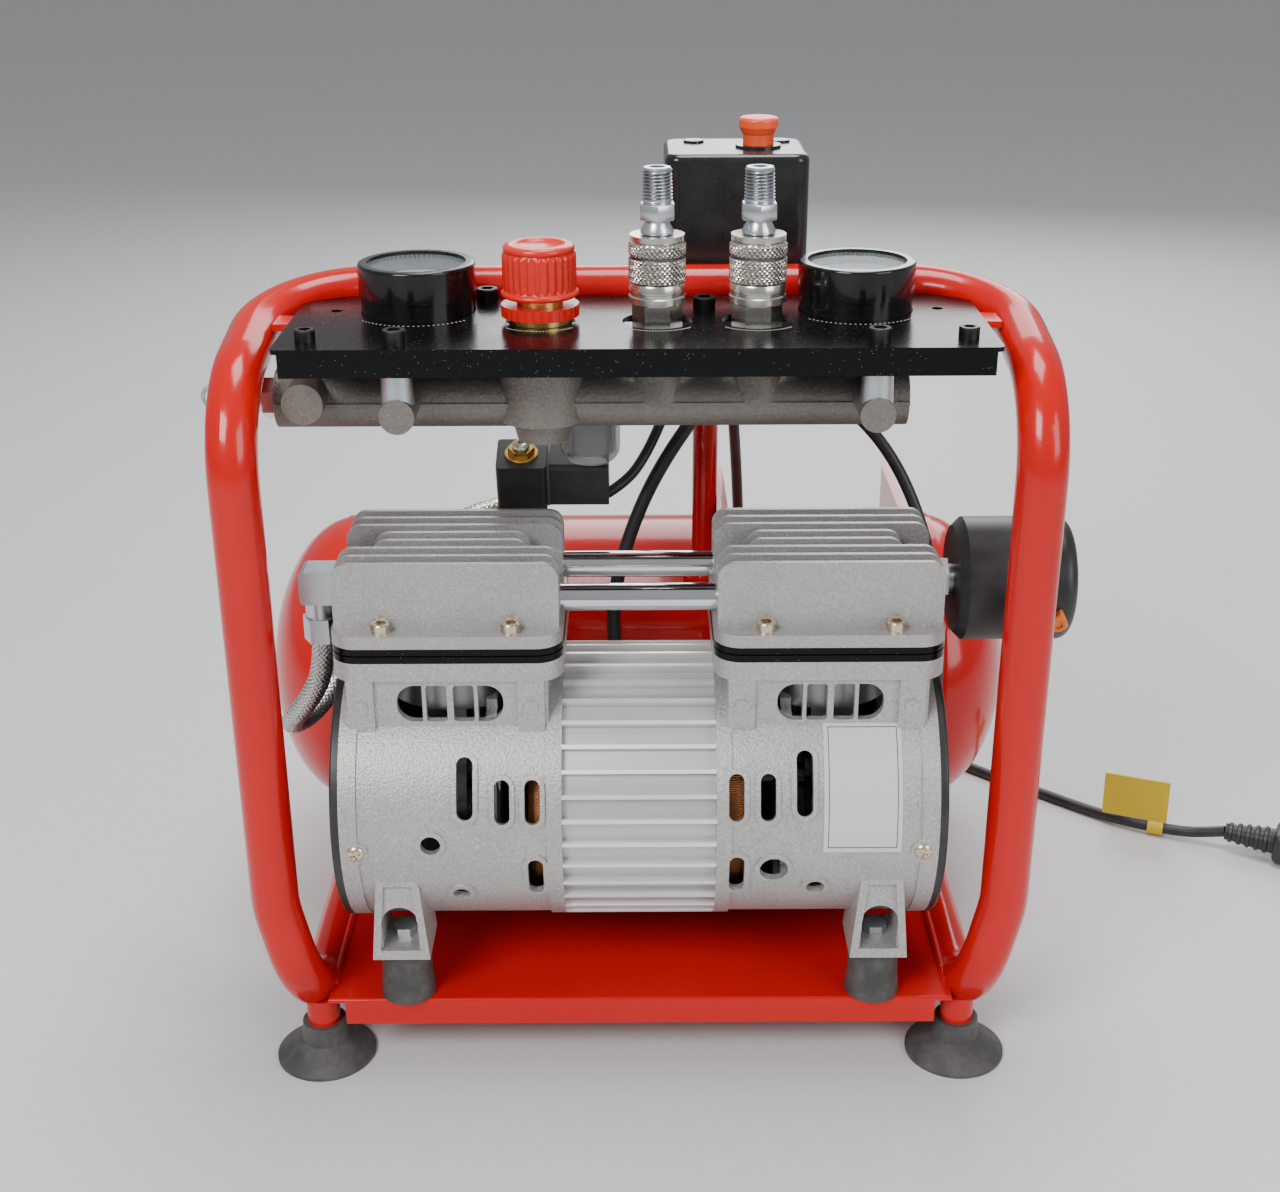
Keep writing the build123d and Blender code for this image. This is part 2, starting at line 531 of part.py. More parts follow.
def crankcase(side):
    left, right = sorted((side * STATOR_HALF, side * CRANKCASE_END))
    x = side * HEAD_X
    shell_r = BARREL_R - 1.0
    neck = 42.5
    shell = rod_x(shell_r, left, right, MOTOR_Y, MOTOR_Z)
    for start, end in ((STATOR_HALF, STATOR_HALF + 7), (CRANKCASE_END - 8, CRANKCASE_END)):
        shell += rod_x(BARREL_R, *sorted((side * start, side * end)), MOTOR_Y, MOTOR_Z)
    shell += block(x - 45, x + 45, MOTOR_Y - neck, MOTOR_Y + neck, MOTOR_Z + 38, DECK_BOTTOM)
    for step in (-39.5, 37.5):
        shell += block(x + step - 6, x + step + 6, MOTOR_Y - neck - 2, MOTOR_Y + neck + 2, MOTOR_Z + 40, DECK_BOTTOM)
        shell += rod_y(3.2, MOTOR_Y - neck - 2.7, MOTOR_Y, x + step, 191)
    shell += rounded_plate(x - 52, x + 52, MOTOR_Y - 45, MOTOR_Y + 45, DECK_BOTTOM, DECK_TOP, 12)
    shell += rod_y(5.5, MOTOR_Y - 65.5, MOTOR_Y, side * 129, MOTOR_Z - 4)
    for foot_y in MOUNT_YS:
        shell += leg(side, foot_y)
    rims = Part()
    for vent_x, low, high, width in vents:
        if vent_x * side > 0:
            rims += slot_through(vent_x, low - 1.9, high + 1.9, width + 4.4, 9)
    shell += rims & (rod_x(BARREL_R + 0.1, left, right, MOTOR_Y, MOTOR_Z) - rod_x(60, left, right, MOTOR_Y, MOTOR_Z))
    cavity = rod_x(BARREL_R - BARREL_WALL, left, right, MOTOR_Y, MOTOR_Z)
    cavity += block(x - 41, x + 41, MOTOR_Y - neck + 4, MOTOR_Y + neck - 4, MOTOR_Z + 20, DECK_BOTTOM - 1)
    web_left, web_right = sorted((side * 65, side * 70))
    web = ring_x(BARREL_R - 2, 17.5, web_left, web_right)
    for index in range(4):
        web -= Pos(side * 67.5, MOTOR_Y, MOTOR_Z) * Rot(45 + index * 90, 0, 0) * Pos(0, 0, 42) * Box(8, 34, 22)
    shell = shell - cavity + web - rod_z(33, MOTOR_Z + 45, DECK_TOP, x, MOTOR_Y)
    for vent_x, low, high, width in vents:
        if vent_x * side > 0:
            shell -= slot_through(vent_x, low, high, width, 9)
    for step, wide in ((-17.6, 11.5), (-5.4, 9.5), (6.9, 9.5), (19.1, 11.5)):
        opening = block(x + step - wide / 2, x + step + wide / 2, MOTOR_Y - 50, MOTOR_Y - 30, 183, 201)
        corners = opening.edges().filter_by(Axis.Y)
        if step < -10:
            rounded = fillet(corners.sort_by(Axis.X)[:2], 8)
        elif step > 10:
            rounded = fillet(corners.sort_by(Axis.X)[2:], 8)
        else:
            rounded = fillet(corners, 1.5)
        shell -= rounded
    shell -= rod_y(1.6, MOTOR_Y - 70, MOTOR_Y - 60, side * 129, MOTOR_Z - 4)
    return max((shell - mount_holes).solids(), key=lambda solid: solid.volume)


save("crankcases", *both_sides(crankcase))


def end_cover(side):
    left, right = sorted((side * CRANKCASE_END, side * COVER_END))
    cover = rod_x(BARREL_R, left, right, MOTOR_Y, MOTOR_Z)
    cover = fillet(cover.edges().sort_by(Axis.X)[-1 if side > 0 else 0], 1.5)
    cover -= rod_x(16, left, right, MOTOR_Y, MOTOR_Z)
    for index in range(12):
        cover -= Pos(side * 138, MOTOR_Y, MOTOR_Z) * Rot(index * 30, 0, 0) * Pos(0, 0, 39) * Box(8, 9, 32)
    return cover


save("end_covers", *both_sides(end_cover))
save("cylinder_liners", *[
    ring_z(33, BORE_R, 184, DECK_TOP, side * HEAD_X, MOTOR_Y)
    for side in (-1, 1)
])
save("shaft_bearings", *[ring_x(17.5, SHAFT_R + RUNNING, *sorted((side * 65, side * 74))) for side in (-1, 1)])

# ---- rotor ----
save("rotor_core", ring_x(31.4, SHAFT_R, -32, 32) + ring_x(26, SHAFT_R, -40, -32) + ring_x(26, SHAFT_R, 32, 40))
shaft = rod_x(SHAFT_R, -128, 128, MOTOR_Y, MOTOR_Z)
for side in (-1, 1):
    left, right = sorted((side * 80, side * 92))
    shaft += rod_x(8.5, left, right, MOTOR_Y, MOTOR_Z + CRANK_THROW)
save("rotor_shaft", shaft)


def fan(side):
    left, right = sorted((side * 110, side * 126))
    disc_left, disc_right = sorted((side * 110, side * 111.6))
    wheel = ring_x(12, SHAFT_R, left, right) + ring_x(50, SHAFT_R, disc_left, disc_right)
    for index in range(14):
        blade = Pos(side * 118, MOTOR_Y, MOTOR_Z) * Rot(index * 360 / 14, 0, 0) * Pos(0, 0, 38)
        wheel += blade * Rot(0, 0, 25) * Box(15, 1.6, 24)
    return wheel


save("cooling_fans", *both_sides(fan))


def piston(side):
    """Piston and rod in one, as in a wobble piston pump; the big end is open round the crank."""
    x = side * HEAD_X
    piece = rod_z(PISTON_R, 197, 205, x, MOTOR_Y) + block(x - 4, x + 4, MOTOR_Y - 8, MOTOR_Y + 8, MOTOR_Z + 20, 198)
    piece += rod_x(24, x - 4, x + 4, MOTOR_Y, MOTOR_Z) - rod_x(20, x - 5, x + 5, MOTOR_Y, MOTOR_Z)
    return piece - rod_x(20, x - 5, x + 5, MOTOR_Y, MOTOR_Z)


save("left_piston", piston(-1))
save("right_piston", piston(1))

# ---- cylinder heads ----
def head_plate(side, low, high, grow=0.0):
    x = side * HEAD_X
    return rounded_plate(x - 52 - grow, x + 52 + grow, MOTOR_Y - 45 - grow, MOTOR_Y + 45 + grow, low, high, 12)


head_screws = [
    cap_screw(side * HEAD_X + dx, MOTOR_Y + dy, FLANGE_TOP, 4.4, 4.5, 2.5, 20)
    for side in (-1, 1) for dx in (-29, 29) for dy in (-39, 39)
]
head_holes = Compound([screw.solid() for screw in head_screws])


def valve_plate(side):
    plate = head_plate(side, DECK_TOP, VALVE_PLATE_TOP)
    groove = head_plate(side, DECK_TOP + 3.2, DECK_TOP + 3.9) - head_plate(side, DECK_TOP + 3, DECK_TOP + 4, -0.9)
    return plate - groove - head_holes - rod_z(4, DECK_TOP, VALVE_PLATE_TOP, side * HEAD_X, MOTOR_Y)


def cylinder_head(side):
    x = side * HEAD_X
    head = head_plate(side, VALVE_PLATE_TOP, FLANGE_TOP)
    head += block(x - 50.5, x + 50.5, MOTOR_Y - 35.6, MOTOR_Y + 35.6, FLANGE_TOP, FLANGE_TOP + 7)
    for index in range(FIN_COUNT):
        y = MOTOR_Y + (index - (FIN_COUNT - 1) / 2) * FIN_PITCH
        half = 36 if index in (3, 4) else 50.5
        fin = block(x - half, x + half, y - FIN_T / 2, y + FIN_T / 2, FLANGE_TOP, FIN_TOP)
        head += fillet(fin.edges().filter_by(Axis.Y).group_by(Axis.Z)[-1], 7)
    for port_y in (FRONT + 33, FRONT + 73):
        near, far = sorted((x - side * 50.5, x - side * 28))
        head += block(near, far, port_y - 8.5, port_y + 8.5, FLANGE_TOP, 243.5)
        head -= rod_x(5, near, far - 4, port_y, 234.7) if side > 0 else rod_x(5, near + 4, far, port_y, 234.7)
    return head - head_holes


save("valve_plates", *both_sides(valve_plate))
save("cylinder_heads", *both_sides(cylinder_head))
save("cap_screws", *panel_screws, *[
    screw - block(-150, 150, FRONT, FRONT + 110, 180, DECK_TOP) for screw in head_screws
])
port_face = HEAD_X - 50.5
save("crossover_tubes", *[
    rod_x(6.25, -port_face, port_face, y, 234.7) - rod_x(5, -port_face, port_face, y, 234.7)
    for y in (FRONT + 33, FRONT + 73)
])

# ---- intake silencer on the right head, discharge fitting on the left head ----
silencer_y, silencer_z = FRONT + 50.0, 236.2
head_side = HEAD_X + 50.5
intake_fitting = hex_x(17, head_side, head_side + 6, silencer_y, silencer_z)
intake_fitting += rod_x(6.5, head_side + 6, 145, silencer_y, silencer_z)
silencer = rod_x(28.5, 145, 178, silencer_y, silencer_z)
silencer = chamfer(silencer.edges().sort_by(Axis.X)[0], 4)
silencer -= rod_x(25.5, 150, 178, silencer_y, silencer_z)
save("intake_silencer", silencer)
cap = rod_x(28.5, 178.3, 198, silencer_y, silencer_z)
cap = fillet(cap.edges().sort_by(Axis.X)[-1], 6) - rod_x(25.5, 178.3, 193, silencer_y, silencer_z)
cap += rod_x(25.4, 172, 193, silencer_y, silencer_z) - rod_x(23.5, 172, 193, silencer_y, silencer_z)
save("silencer_cap", cap)
elbow_x = -148.0
elbow = block(elbow_x - 8, -head_side, FRONT + 42, FRONT + 58, 227, 243)
elbow = fillet(elbow.edges().filter_by(Axis.Y), 2.5)
elbow += rod_z(7, 219, 228, elbow_x, FRONT + 50) + hex_z(15, 207, 219, elbow_x, FRONT + 50)
save("head_fittings", intake_fitting, elbow)

# ---- leads held by the machine ----
hose_route = [
    (elbow_x, FRONT + 50, 207), (elbow_x - 1, FRONT + 51, 190), (-158, FRONT + 56, 172),
    (-170, FRONT + 66, 156), (-173, FRONT + 82, 145), (-165, FRONT + 97, 144), (-154, FRONT + 104, 158),
    (-142, FRONT + 109, 177), (-129, FRONT + 112, 195), (-116, FRONT + 118, 214), (-100, FRONT + 130, 228),
    (-85, FRONT + 142, 235), (CHECK_X - 14, CHECK_Y, 236),
]
save("braided_hose", routed(hose_route, 5.0, "braided_hose") - check_valve - elbow)
motor_lead = [
    (48, FRONT + 150, 330), (46, FRONT + 146, 316), (38, FRONT + 137, 302), (26, FRONT + 127, 288),
    (14, FRONT + 120, 272), (4, FRONT + 117, 254), (-4, FRONT + 115, 234), (-10, FRONT + 112, 214),
    (-13, FRONT + 107, 196), (-12, FRONT + 99, 182),
]
solenoid_lead = [
    (24, FRONT + 146, 330), (23, FRONT + 143, 318), (19, FRONT + 136, 304), (12, FRONT + 127, 289),
    (4, FRONT + 118, 274), (-5, FRONT + 111, 263), (-15, FRONT + 107, 258),
]
capacitor_lead = [
    (68, FRONT + 150, 330), (74, FRONT + 147, 316), (88, FRONT + 141, 304), (106, FRONT + 134, 292),
    (122, FRONT + 127, 276), (134, FRONT + 120, 256), (143, FRONT + 113, 232), (149, FRONT + 106, 206),
    (151, FRONT + 101, 178), (151, FRONT + 99, 150), (151, FRONT + 100, 122), (149, FRONT + 103, 98),
    (141, FRONT + 110, 78), (126, FRONT + 116, 65), (106, FRONT + 119, 59), (84, FRONT + 115, 58),
    (60, FRONT + 112, 58),
]
leads = [
    routed(motor_lead, 3.4, "motor_lead") - base - stator,
    routed(solenoid_lead, 2.6, "solenoid_lead") - base - connector,
    routed(capacitor_lead, 3.0, "capacitor_lead") - base,
]
capacitor = fillet(rod_x(17, -40, 58, FRONT + 112, 58).edges(), 2.5)
capacitor += block(-20, 36, FRONT + 100, FRONT + 124, PLATE_TOP, 50)
save("run_capacitor", capacitor)
save("wiring", *[max((lead - capacitor).solids(), key=lambda solid: solid.volume) for lead in leads])

# ---- power cord ----
gland_y = SWITCH_Y[1]
gland = Pos(47, gland_y + 3.5, 350) * Rot(90, 0, 0) * Cylinder(8, 7)
gland += Pos(47, gland_y + 17, 350) * Rot(-90, 0, 0) * Cone(6, 4.2, 20)
save("cord_gland", gland)
coil = ring_z(COIL_MEAN_R + COIL_BAND / 2, COIL_MEAN_R - COIL_BAND / 2, 0, COIL_BAND, COIL_X, COIL_Y)
save("cord_coil", coil)
drop_route = [
    (47, gland_y + 27, 350), (47, gland_y + 42, 350), (47, gland_y + 59, 343), (48, gland_y + 75, 328),
    (50, gland_y + 88, 306), (53, gland_y + 98, 279), (56, gland_y + 104, 245), (59, gland_y + 107, 207),
    (61, gland_y + 108, 168), (62, gland_y + 108, 129), (61, gland_y + 109, 92), (57, gland_y + 110, 59),
    (48, gland_y + 110, 33), (34, gland_y + 112, 14), (17, gland_y + 119, 4.5), (5, gland_y + 133, 3.3),
    (1, gland_y + 151, 3.3), (5, gland_y + 168, 3.3),
]
floor_route = [
    (40, COIL_Y + 36, 3.3), (66, COIL_Y + 37, 3.3), (94, COIL_Y + 32, 3.3), (124, COIL_Y + 18, 3.3),
    (153, COIL_Y - 2, 3.3), (181, COIL_Y - 25, 3.3), (206, COIL_Y - 51, 3.3), (229, FRONT + 279, 3.3),
    (251, FRONT + 261, 3.3), (273, FRONT + 241, 3.3), (296, FRONT + 222, 4.6), (326, FRONT + 209, 5.2),
    (337, FRONT + 204, 8), (347, FRONT + 199, 11.5),
]
drop = routed(drop_route, CORD_D / 2, "drop") - coil - gland
plug_dir = Vector(0.906, -0.423, 0)
plug_plane = Plane(origin=floor_route[-1], x_dir=(0.423, 0.906, 0), z_dir=plug_dir)
plug = plug_plane * Pos(0, 0, 14) * Cone(5, 7.5, 28)
for index in range(5):
    plug += plug_plane * Pos(0, 0, 3 + 5 * index) * Cylinder(5.6 + 0.5 * index, 2.4)
plug += plug_plane * Pos(0, 0, 28) * extrude(RectangleRounded(23, 19, 6), 30, taper=-2)
for x in (-6.35, 6.35):
    plug += plug_plane * Pos(x, 2, 66) * Box(1.5, 6.3, 18)
plug += plug_plane * Pos(0, -5, 67) * Cylinder(2.4, 20)
save("cord_plug", plug)
save("power_cord", drop, routed(floor_route, CORD_D / 2, "lead") - coil - plug)
tag_dir = Vector(30, -13, 0.6).normalized()
tag_plane = Plane(origin=(311, FRONT + 215.5, 4.9), x_dir=(13, 30, 0), z_dir=tag_dir)
tag = tag_plane * (Cylinder(4.6, 9) - Cylinder(CORD_D / 2 + 0.15, 9))
tag += tag_plane * Pos(0, 17.5, -13) * Box(1.2, 27, 38)
save("cord_tag", tag)
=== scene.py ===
"""Finishes and fine pieces of an airbrush compressor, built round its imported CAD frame."""
import math

import bpy
from mathutils import Matrix, Vector


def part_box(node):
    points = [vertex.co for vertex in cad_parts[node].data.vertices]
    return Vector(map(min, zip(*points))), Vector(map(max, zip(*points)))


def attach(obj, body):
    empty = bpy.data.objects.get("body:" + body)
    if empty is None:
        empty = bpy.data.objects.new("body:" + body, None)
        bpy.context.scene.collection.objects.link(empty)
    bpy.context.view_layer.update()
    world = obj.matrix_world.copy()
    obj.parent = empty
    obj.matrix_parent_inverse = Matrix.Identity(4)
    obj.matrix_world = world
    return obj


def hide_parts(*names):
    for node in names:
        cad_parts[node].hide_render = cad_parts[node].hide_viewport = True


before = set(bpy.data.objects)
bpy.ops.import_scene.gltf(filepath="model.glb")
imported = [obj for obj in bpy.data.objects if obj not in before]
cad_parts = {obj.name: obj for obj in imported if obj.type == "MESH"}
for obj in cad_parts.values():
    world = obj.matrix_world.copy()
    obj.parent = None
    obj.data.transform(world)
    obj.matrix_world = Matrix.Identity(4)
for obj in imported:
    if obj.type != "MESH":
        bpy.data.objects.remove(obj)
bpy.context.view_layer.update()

bl_info = {
    "name": "Airbrush Compressor",
    "version": (1, 0, 0),
    "blender": (4, 5, 0),
    "location": "3D View > Sidebar > Compressor",
    "description": "Builds the finishes and the fine pieces of a twin-head airbrush compressor",
    "category": "Add Mesh",
}

X, Y, Z = range(3)


def middle(node, axis):
    """Middle of a node along an axis, in mm."""
    low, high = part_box(node)
    return round((low[axis] + high[axis]) * 500, 1)


def edge(node, side, axis):
    """Lowest (0) or highest (1) place of a node along an axis, in mm."""
    return round(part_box(node)[side][axis] * 1000, 1)


# ---- the frame's own places, in mm ----
MOTOR = (middle("stator_housing", Y), middle("stator_housing", Z))
BARREL_R = edge("stator_housing", 1, Z) - MOTOR[1]
# the fins' painted shade lies at the foot radius and their painted highlight at the tip radius
FIN_RADII = (62.2, 65.5)                # foot and tip of the motor's fins
FRONT = MOTOR[0] - 53.0                 # Y of the uprights
PIPE_Y = middle("left_coupler_sleeve", Y)
COUPLER_XS = (middle("left_coupler_sleeve", X), middle("right_coupler_sleeve", X))
REGULATOR_X = middle("regulator_knob", X)
GAUGE_XS = (-97.5, 97.5)
GAUGE_Y = middle("gauge_dials", Y)
DIAL_Z = edge("gauge_dials", 1, Z)
PANEL_TOP = edge("control_panel", 1, Z)
HEAD_X = middle("right_piston", X)
FLANGE_TOP = edge("cylinder_heads", 0, Z) + 6.0
GLAND_Y = edge("cord_gland", 0, Y)
COIL = (middle("cord_coil", X), middle("cord_coil", Y))
PLUG = (347.0, FRONT + 199.0, 11.5)     # where the cord enters its plug
CAMERA = (0.4, FRONT - 693.6, 542.7)
CAMERA_TURNS = (("Z", -0.03), ("X", 67.04), ("Z", -0.25))   # pan, tilt and roll, degrees

# ---- surface detail ----
KNURLS = 34             # diamonds round a coupler sleeve
KNURL_RISE = 2.2        # height of one diamond, mm
THREAD_PITCH = 1.41
KNOB_RIBS = 28
SCREW_SIDES = 60
BRAID_STRANDS = 6       # each way round the hose
BRAID_TWIST = 1208      # radians of strand for each metre of hose


def mm(*lengths):
    """Millimetres to metres, as a tuple."""
    return tuple(length / 1000 for length in lengths)


# ---- what a user would change ----
class CompressorSizes(bpy.types.PropertyGroup):
    cord_diameter: bpy.props.FloatProperty(
        name="Cord diameter", description="Outside diameter of the power cord", default=0.0065, unit="LENGTH")
    cord_turns: bpy.props.FloatProperty(
        name="Cord turns", description="Turns of the put-away coil", default=4.25)
    knurl_depth: bpy.props.FloatProperty(
        name="Knurl depth", description="Depth of the couplers' knurling", default=0.0006, unit="LENGTH")
    thread_depth: bpy.props.FloatProperty(
        name="Thread depth", description="Depth of the outlet pipe thread", default=0.0008, unit="LENGTH")
    braid_depth: bpy.props.FloatProperty(
        name="Braid depth", description="Height of the hose's braided strands", default=0.0006, unit="LENGTH")


class CompressorColours(bpy.types.PropertyGroup):
    enamel: bpy.props.FloatVectorProperty(
        name="Enamel", description="Frame and tank paint", subtype="COLOR", default=(0.54, 0.003, 0.0025))
    knob: bpy.props.FloatVectorProperty(
        name="Knob", description="Regulator knob plastic", subtype="COLOR", default=(0.68, 0.014, 0.008))
    casting: bpy.props.FloatVectorProperty(
        name="Casting", description="Sand-textured die castings", subtype="COLOR", default=(0.50, 0.49, 0.48))
    dial: bpy.props.FloatVectorProperty(
        name="Dial", description="Gauge dial", subtype="COLOR", default=(0.60, 0.74, 0.84))
    tag: bpy.props.FloatVectorProperty(
        name="Tag", description="Folded tag on the cord", subtype="COLOR", default=(0.62, 0.43, 0.006))


# ---- shader maths ----
OBJECT_OUTPUT = 3       # Texture Coordinate's Object output
MIX_COLOURS = (6, 7)    # the Mix node's two colour inputs
MIX_OUTPUT = 2          # its colour output
FACTOR_OUTPUT = 2       # the Attribute node's number output


class Field:
    """A value that varies over a surface; arithmetic on it adds Math nodes."""

    def __init__(self, finish, socket):
        self.finish = finish
        self.socket = socket

    def math(self, operation, first, second=0.0):
        return self.finish.node("ShaderNodeMath", {"operation": operation}, {0: first, 1: second})

    def __add__(self, other):
        return self.math("ADD", self, other)

    __radd__ = __add__

    def __sub__(self, other):
        return self.math("SUBTRACT", self, other)

    def __rsub__(self, other):
        return self.math("SUBTRACT", other, self)

    def __mul__(self, other):
        return self.math("MULTIPLY", self, other)

    __rmul__ = __mul__

    def __pow__(self, other):
        return self.math("POWER", self, other)

    def __rpow__(self, other):
        return self.math("POWER", other, self)

    def above(self, level):
        return self.math("GREATER_THAN", self, level)

    def below(self, level):
        return self.math("LESS_THAN", self, level)


class Finish:
    """A material under construction round one Principled shader."""

    def __init__(self, name):
        self.material = bpy.data.materials.new(name)
        self.material.use_nodes = True
        self.tree = self.material.node_tree
        self.shader = self.tree.nodes["Principled BSDF"]

    def node(self, kind, settings=None, values=None, output=0):
        made = self.tree.nodes.new(kind)
        for name, setting in (settings or {}).items():
            setattr(made, name, setting)
        for key, value in (values or {}).items():
            if isinstance(value, Field):
                self.tree.links.new(value.socket, made.inputs[key])
            else:
                made.inputs[key].default_value = value
        return Field(self, made.outputs[output])

    def place(self, stretch=(1, 1, 1)):
        """Object coordinates, stretched along each axis."""
        where = self.node("ShaderNodeTexCoord", output=OBJECT_OUTPUT)
        return self.node("ShaderNodeMapping", None, {0: where, "Scale": stretch})

    def noise(self, scale, detail=2.0, roughness=0.5, place=None):
        values = {"Vector": place or self.place(), "Scale": scale, "Detail": detail, "Roughness": roughness}
        return self.node("ShaderNodeTexNoise", None, values)

    def cells(self, scale):
        return self.node("ShaderNodeTexVoronoi", None, {"Vector": self.place(), "Scale": scale})

    def blend(self, share, first, second):
        """A colour mixed from two by a share from 0 to 1."""
        values = {0: share}
        for key, colour in zip(MIX_COLOURS, (first, second)):
            values[key] = colour if isinstance(colour, Field) else (*colour, 1.0)
        return self.node("ShaderNodeMix", {"data_type": "RGBA"}, values, MIX_OUTPUT)

    def bump(self, height, distance, strength):
        values = {"Height": height, "Distance": distance, "Strength": strength}
        return self.node("ShaderNodeBump", None, values)

    def shade(self, **sockets):
        """Sets the shader's own sockets; a Field is linked. Underscores stand for spaces."""
        for name, value in sockets.items():
            socket = self.shader.inputs[name.replace("_", " ")]
            if isinstance(value, Field):
                self.tree.links.new(value.socket, socket)
            elif hasattr(value, "__len__") and len(value) == 3:
                socket.default_value = (*value, 1.0)
            else:
                socket.default_value = value
        return self.material


def shade_of(colour, factor):
    """The colour made darker or lighter by a factor."""
    return tuple(min(1.0, channel * factor) for channel in colour)


def enamel(name, colour, dust=0.0, coat=0.25, gloss=0.3):
    """Sprayed gloss paint: orange peel, faint handling marks and a little dust."""
    paint = Finish(name)
    peel = paint.noise(260, 2)
    marks = paint.noise(30, 5, 0.65)
    tone = paint.blend(paint.noise(9, 2), shade_of(colour, 0.88), shade_of(colour, 1.12))
    grit = paint.cells(480)
    specks = grit.below(0.10) * paint.noise(14, 2).above(0.44)
    tone = paint.blend(specks * dust, tone, (0.24, 0.24, 0.23))
    return paint.shade(Base_Color=tone, Roughness=marks * 0.16 + 0.13 + specks * (dust * 0.5),
                       Coat_Weight=coat, Coat_Roughness=0.06, Specular_IOR_Level=gloss,
                       Normal=paint.bump(peel, 0.00012, 0.5))


def metal(name, colour, rough, spread=0.12, grain=900.0, depth=0.00002, stretch=(1, 1, 1), patch=0.15):
    """Plated or machined metal: a fine grain, patches of wear and dull spots."""
    plate = Finish(name)
    place = plate.place(stretch)
    fine = plate.noise(grain, 3, 0.6, place)
    wear = plate.noise(45, 4, 0.6)
    tone = plate.blend(wear, shade_of(colour, 1 - patch), shade_of(colour, 1 + patch))
    dull = wear * spread + fine * (spread * 0.6) + rough - spread / 2
    return plate.shade(Base_Color=tone, Metallic=1.0, Roughness=dull, Normal=plate.bump(fine, depth, 0.6))


def cut_metal(name, colour, root, rough):
    """Plated metal with a knurl, thread or weave cut in it, with painted shade down in the cut."""
    plate = Finish(name)
    relief = plate.node("ShaderNodeAttribute", {"attribute_name": "relief"}, output=FACTOR_OUTPUT)
    wear = plate.noise(60, 4, 0.6)
    crest = plate.blend(wear, shade_of(colour, 0.9), shade_of(colour, 1.1))
    # painted shade: the colour darkens by the factor root where the relief is low, down in the cut
    tone = plate.blend(relief, shade_of(colour, root), crest)
    return plate.shade(Base_Color=tone, Metallic=0.95, Roughness=wear * 0.1 + (1 - relief) * 0.15 + rough,
                       Normal=plate.bump(plate.noise(900, 2), 0.00002, 0.5))


def finned(name, colour):
    """Extruded fins: drawn grain along the motor, a painted highlight on the tips and painted shade in the
    recesses.
    """
    fins = Finish(name)
    where = fins.place()
    back, up = (fins.node("ShaderNodeSeparateXYZ", None, {0: where}, axis) for axis in (1, 2))
    radius = ((back - MOTOR[0] / 1000) ** 2 + (up - MOTOR[1] / 1000) ** 2) ** 0.5
    root, crest = mm(*FIN_RADII)
    # painted highlight on the fin tips and painted shade in the recesses, chosen by distance from the motor's
    # axis
    tip = fins.node("ShaderNodeMapRange", None, {0: radius, 1: root, 2: crest, 3: 0.0, 4: 1.0})
    grain = fins.noise(1100, 3, 0.6, fins.place((0.03, 1, 1)))
    tone = fins.blend(tip, shade_of(colour, 0.72), shade_of(colour, 1.25))
    return fins.shade(Base_Color=fins.blend(grain * 0.3, tone, colour), Metallic=0.6,
                      Roughness=grain * 0.14 + 0.32, Normal=fins.bump(grain, 0.00004, 0.4))


def casting(name, colour, metallic, rough, grain, depth, speckle):
    """Sand-textured casting: a pebbled skin with bright and dark grains."""
    skin = Finish(name)
    grains = skin.cells(grain)
    fine = skin.noise(grain * 0.9, 3, 0.7)
    broad = skin.noise(28, 4, 0.6)
    tone = skin.blend(broad, shade_of(colour, 0.86), shade_of(colour, 1.1))
    tone = skin.blend(fine.above(0.60) * speckle, tone, shade_of(colour, 1.75))
    tone = skin.blend(grains.above(0.62) * speckle * 0.7, tone, shade_of(colour, 0.45))
    height = fine * 0.7 + (1 - grains) * 0.5
    return skin.shade(Base_Color=tone, Metallic=metallic, Roughness=fine * 0.2 + broad * 0.08 + rough - 0.12,
                      Normal=skin.bump(height, depth, 0.8))


def moulding(name, colour, rough, grain=1500.0, depth=0.00003, dust=0.0):
    """Moulded plastic or rubber: fine grain, mould bloom and settled dust."""
    mould = Finish(name)
    fine = mould.noise(grain, 2, 0.6)
    bloom = mould.noise(36, 4, 0.62)
    tone = mould.blend(bloom, shade_of(colour, 0.8), shade_of(colour, 1.2))
    settled = mould.noise(70, 5, 0.7) * 2 - 0.85
    tone = mould.blend(settled.math("MAXIMUM", settled, 0.0) * dust, tone, (0.30, 0.29, 0.28))
    return mould.shade(Base_Color=tone, Roughness=bloom * 0.16 + rough - 0.08,
                       Normal=mould.bump(fine + bloom * 0.4, depth, 0.6))


def clear(name, colour, alpha, rough):
    """Clear sheet or smoked bowl, with faint smears."""
    pane = Finish(name)
    smear = pane.noise(60, 4, 0.6)
    return pane.shade(Base_Color=colour, Roughness=smear * 0.12 + rough, Alpha=smear * 0.06 + alpha, IOR=1.5,
                      Coat_Weight=0.5, Normal=pane.bump(smear, 0.00002, 0.3))


def copper(name):
    """Enamelled wire wound in layers, with painted shade between them."""
    wire = Finish(name)
    strands = wire.node("ShaderNodeTexWave", {"wave_type": "RINGS", "rings_direction": "X"},
                        {"Vector": wire.place(), "Scale": 700.0, "Distortion": 3.0, "Detail": 2.0})
    # painted shade: the dark colour lies in the wave troughs between the strands, where the bump sinks
    tone = wire.blend(strands, (0.16, 0.05, 0.02), (0.62, 0.25, 0.09))
    return wire.shade(Base_Color=tone, Metallic=0.8, Roughness=strands * 0.2 + 0.25,
                      Normal=wire.bump(strands, 0.0002, 0.8))


def printed(name, colour, rough=0.5, tone=0.12):
    """Printed card, film or lacquer."""
    film = Finish(name)
    fibre = film.noise(500, 3, 0.6)
    return film.shade(Base_Color=film.blend(fibre, shade_of(colour, 1 - tone), shade_of(colour, 1 + tone)),
                      Roughness=fibre * 0.2 + rough - 0.1, Normal=film.bump(fibre, 0.00002, 0.4))


FINISHES = {}


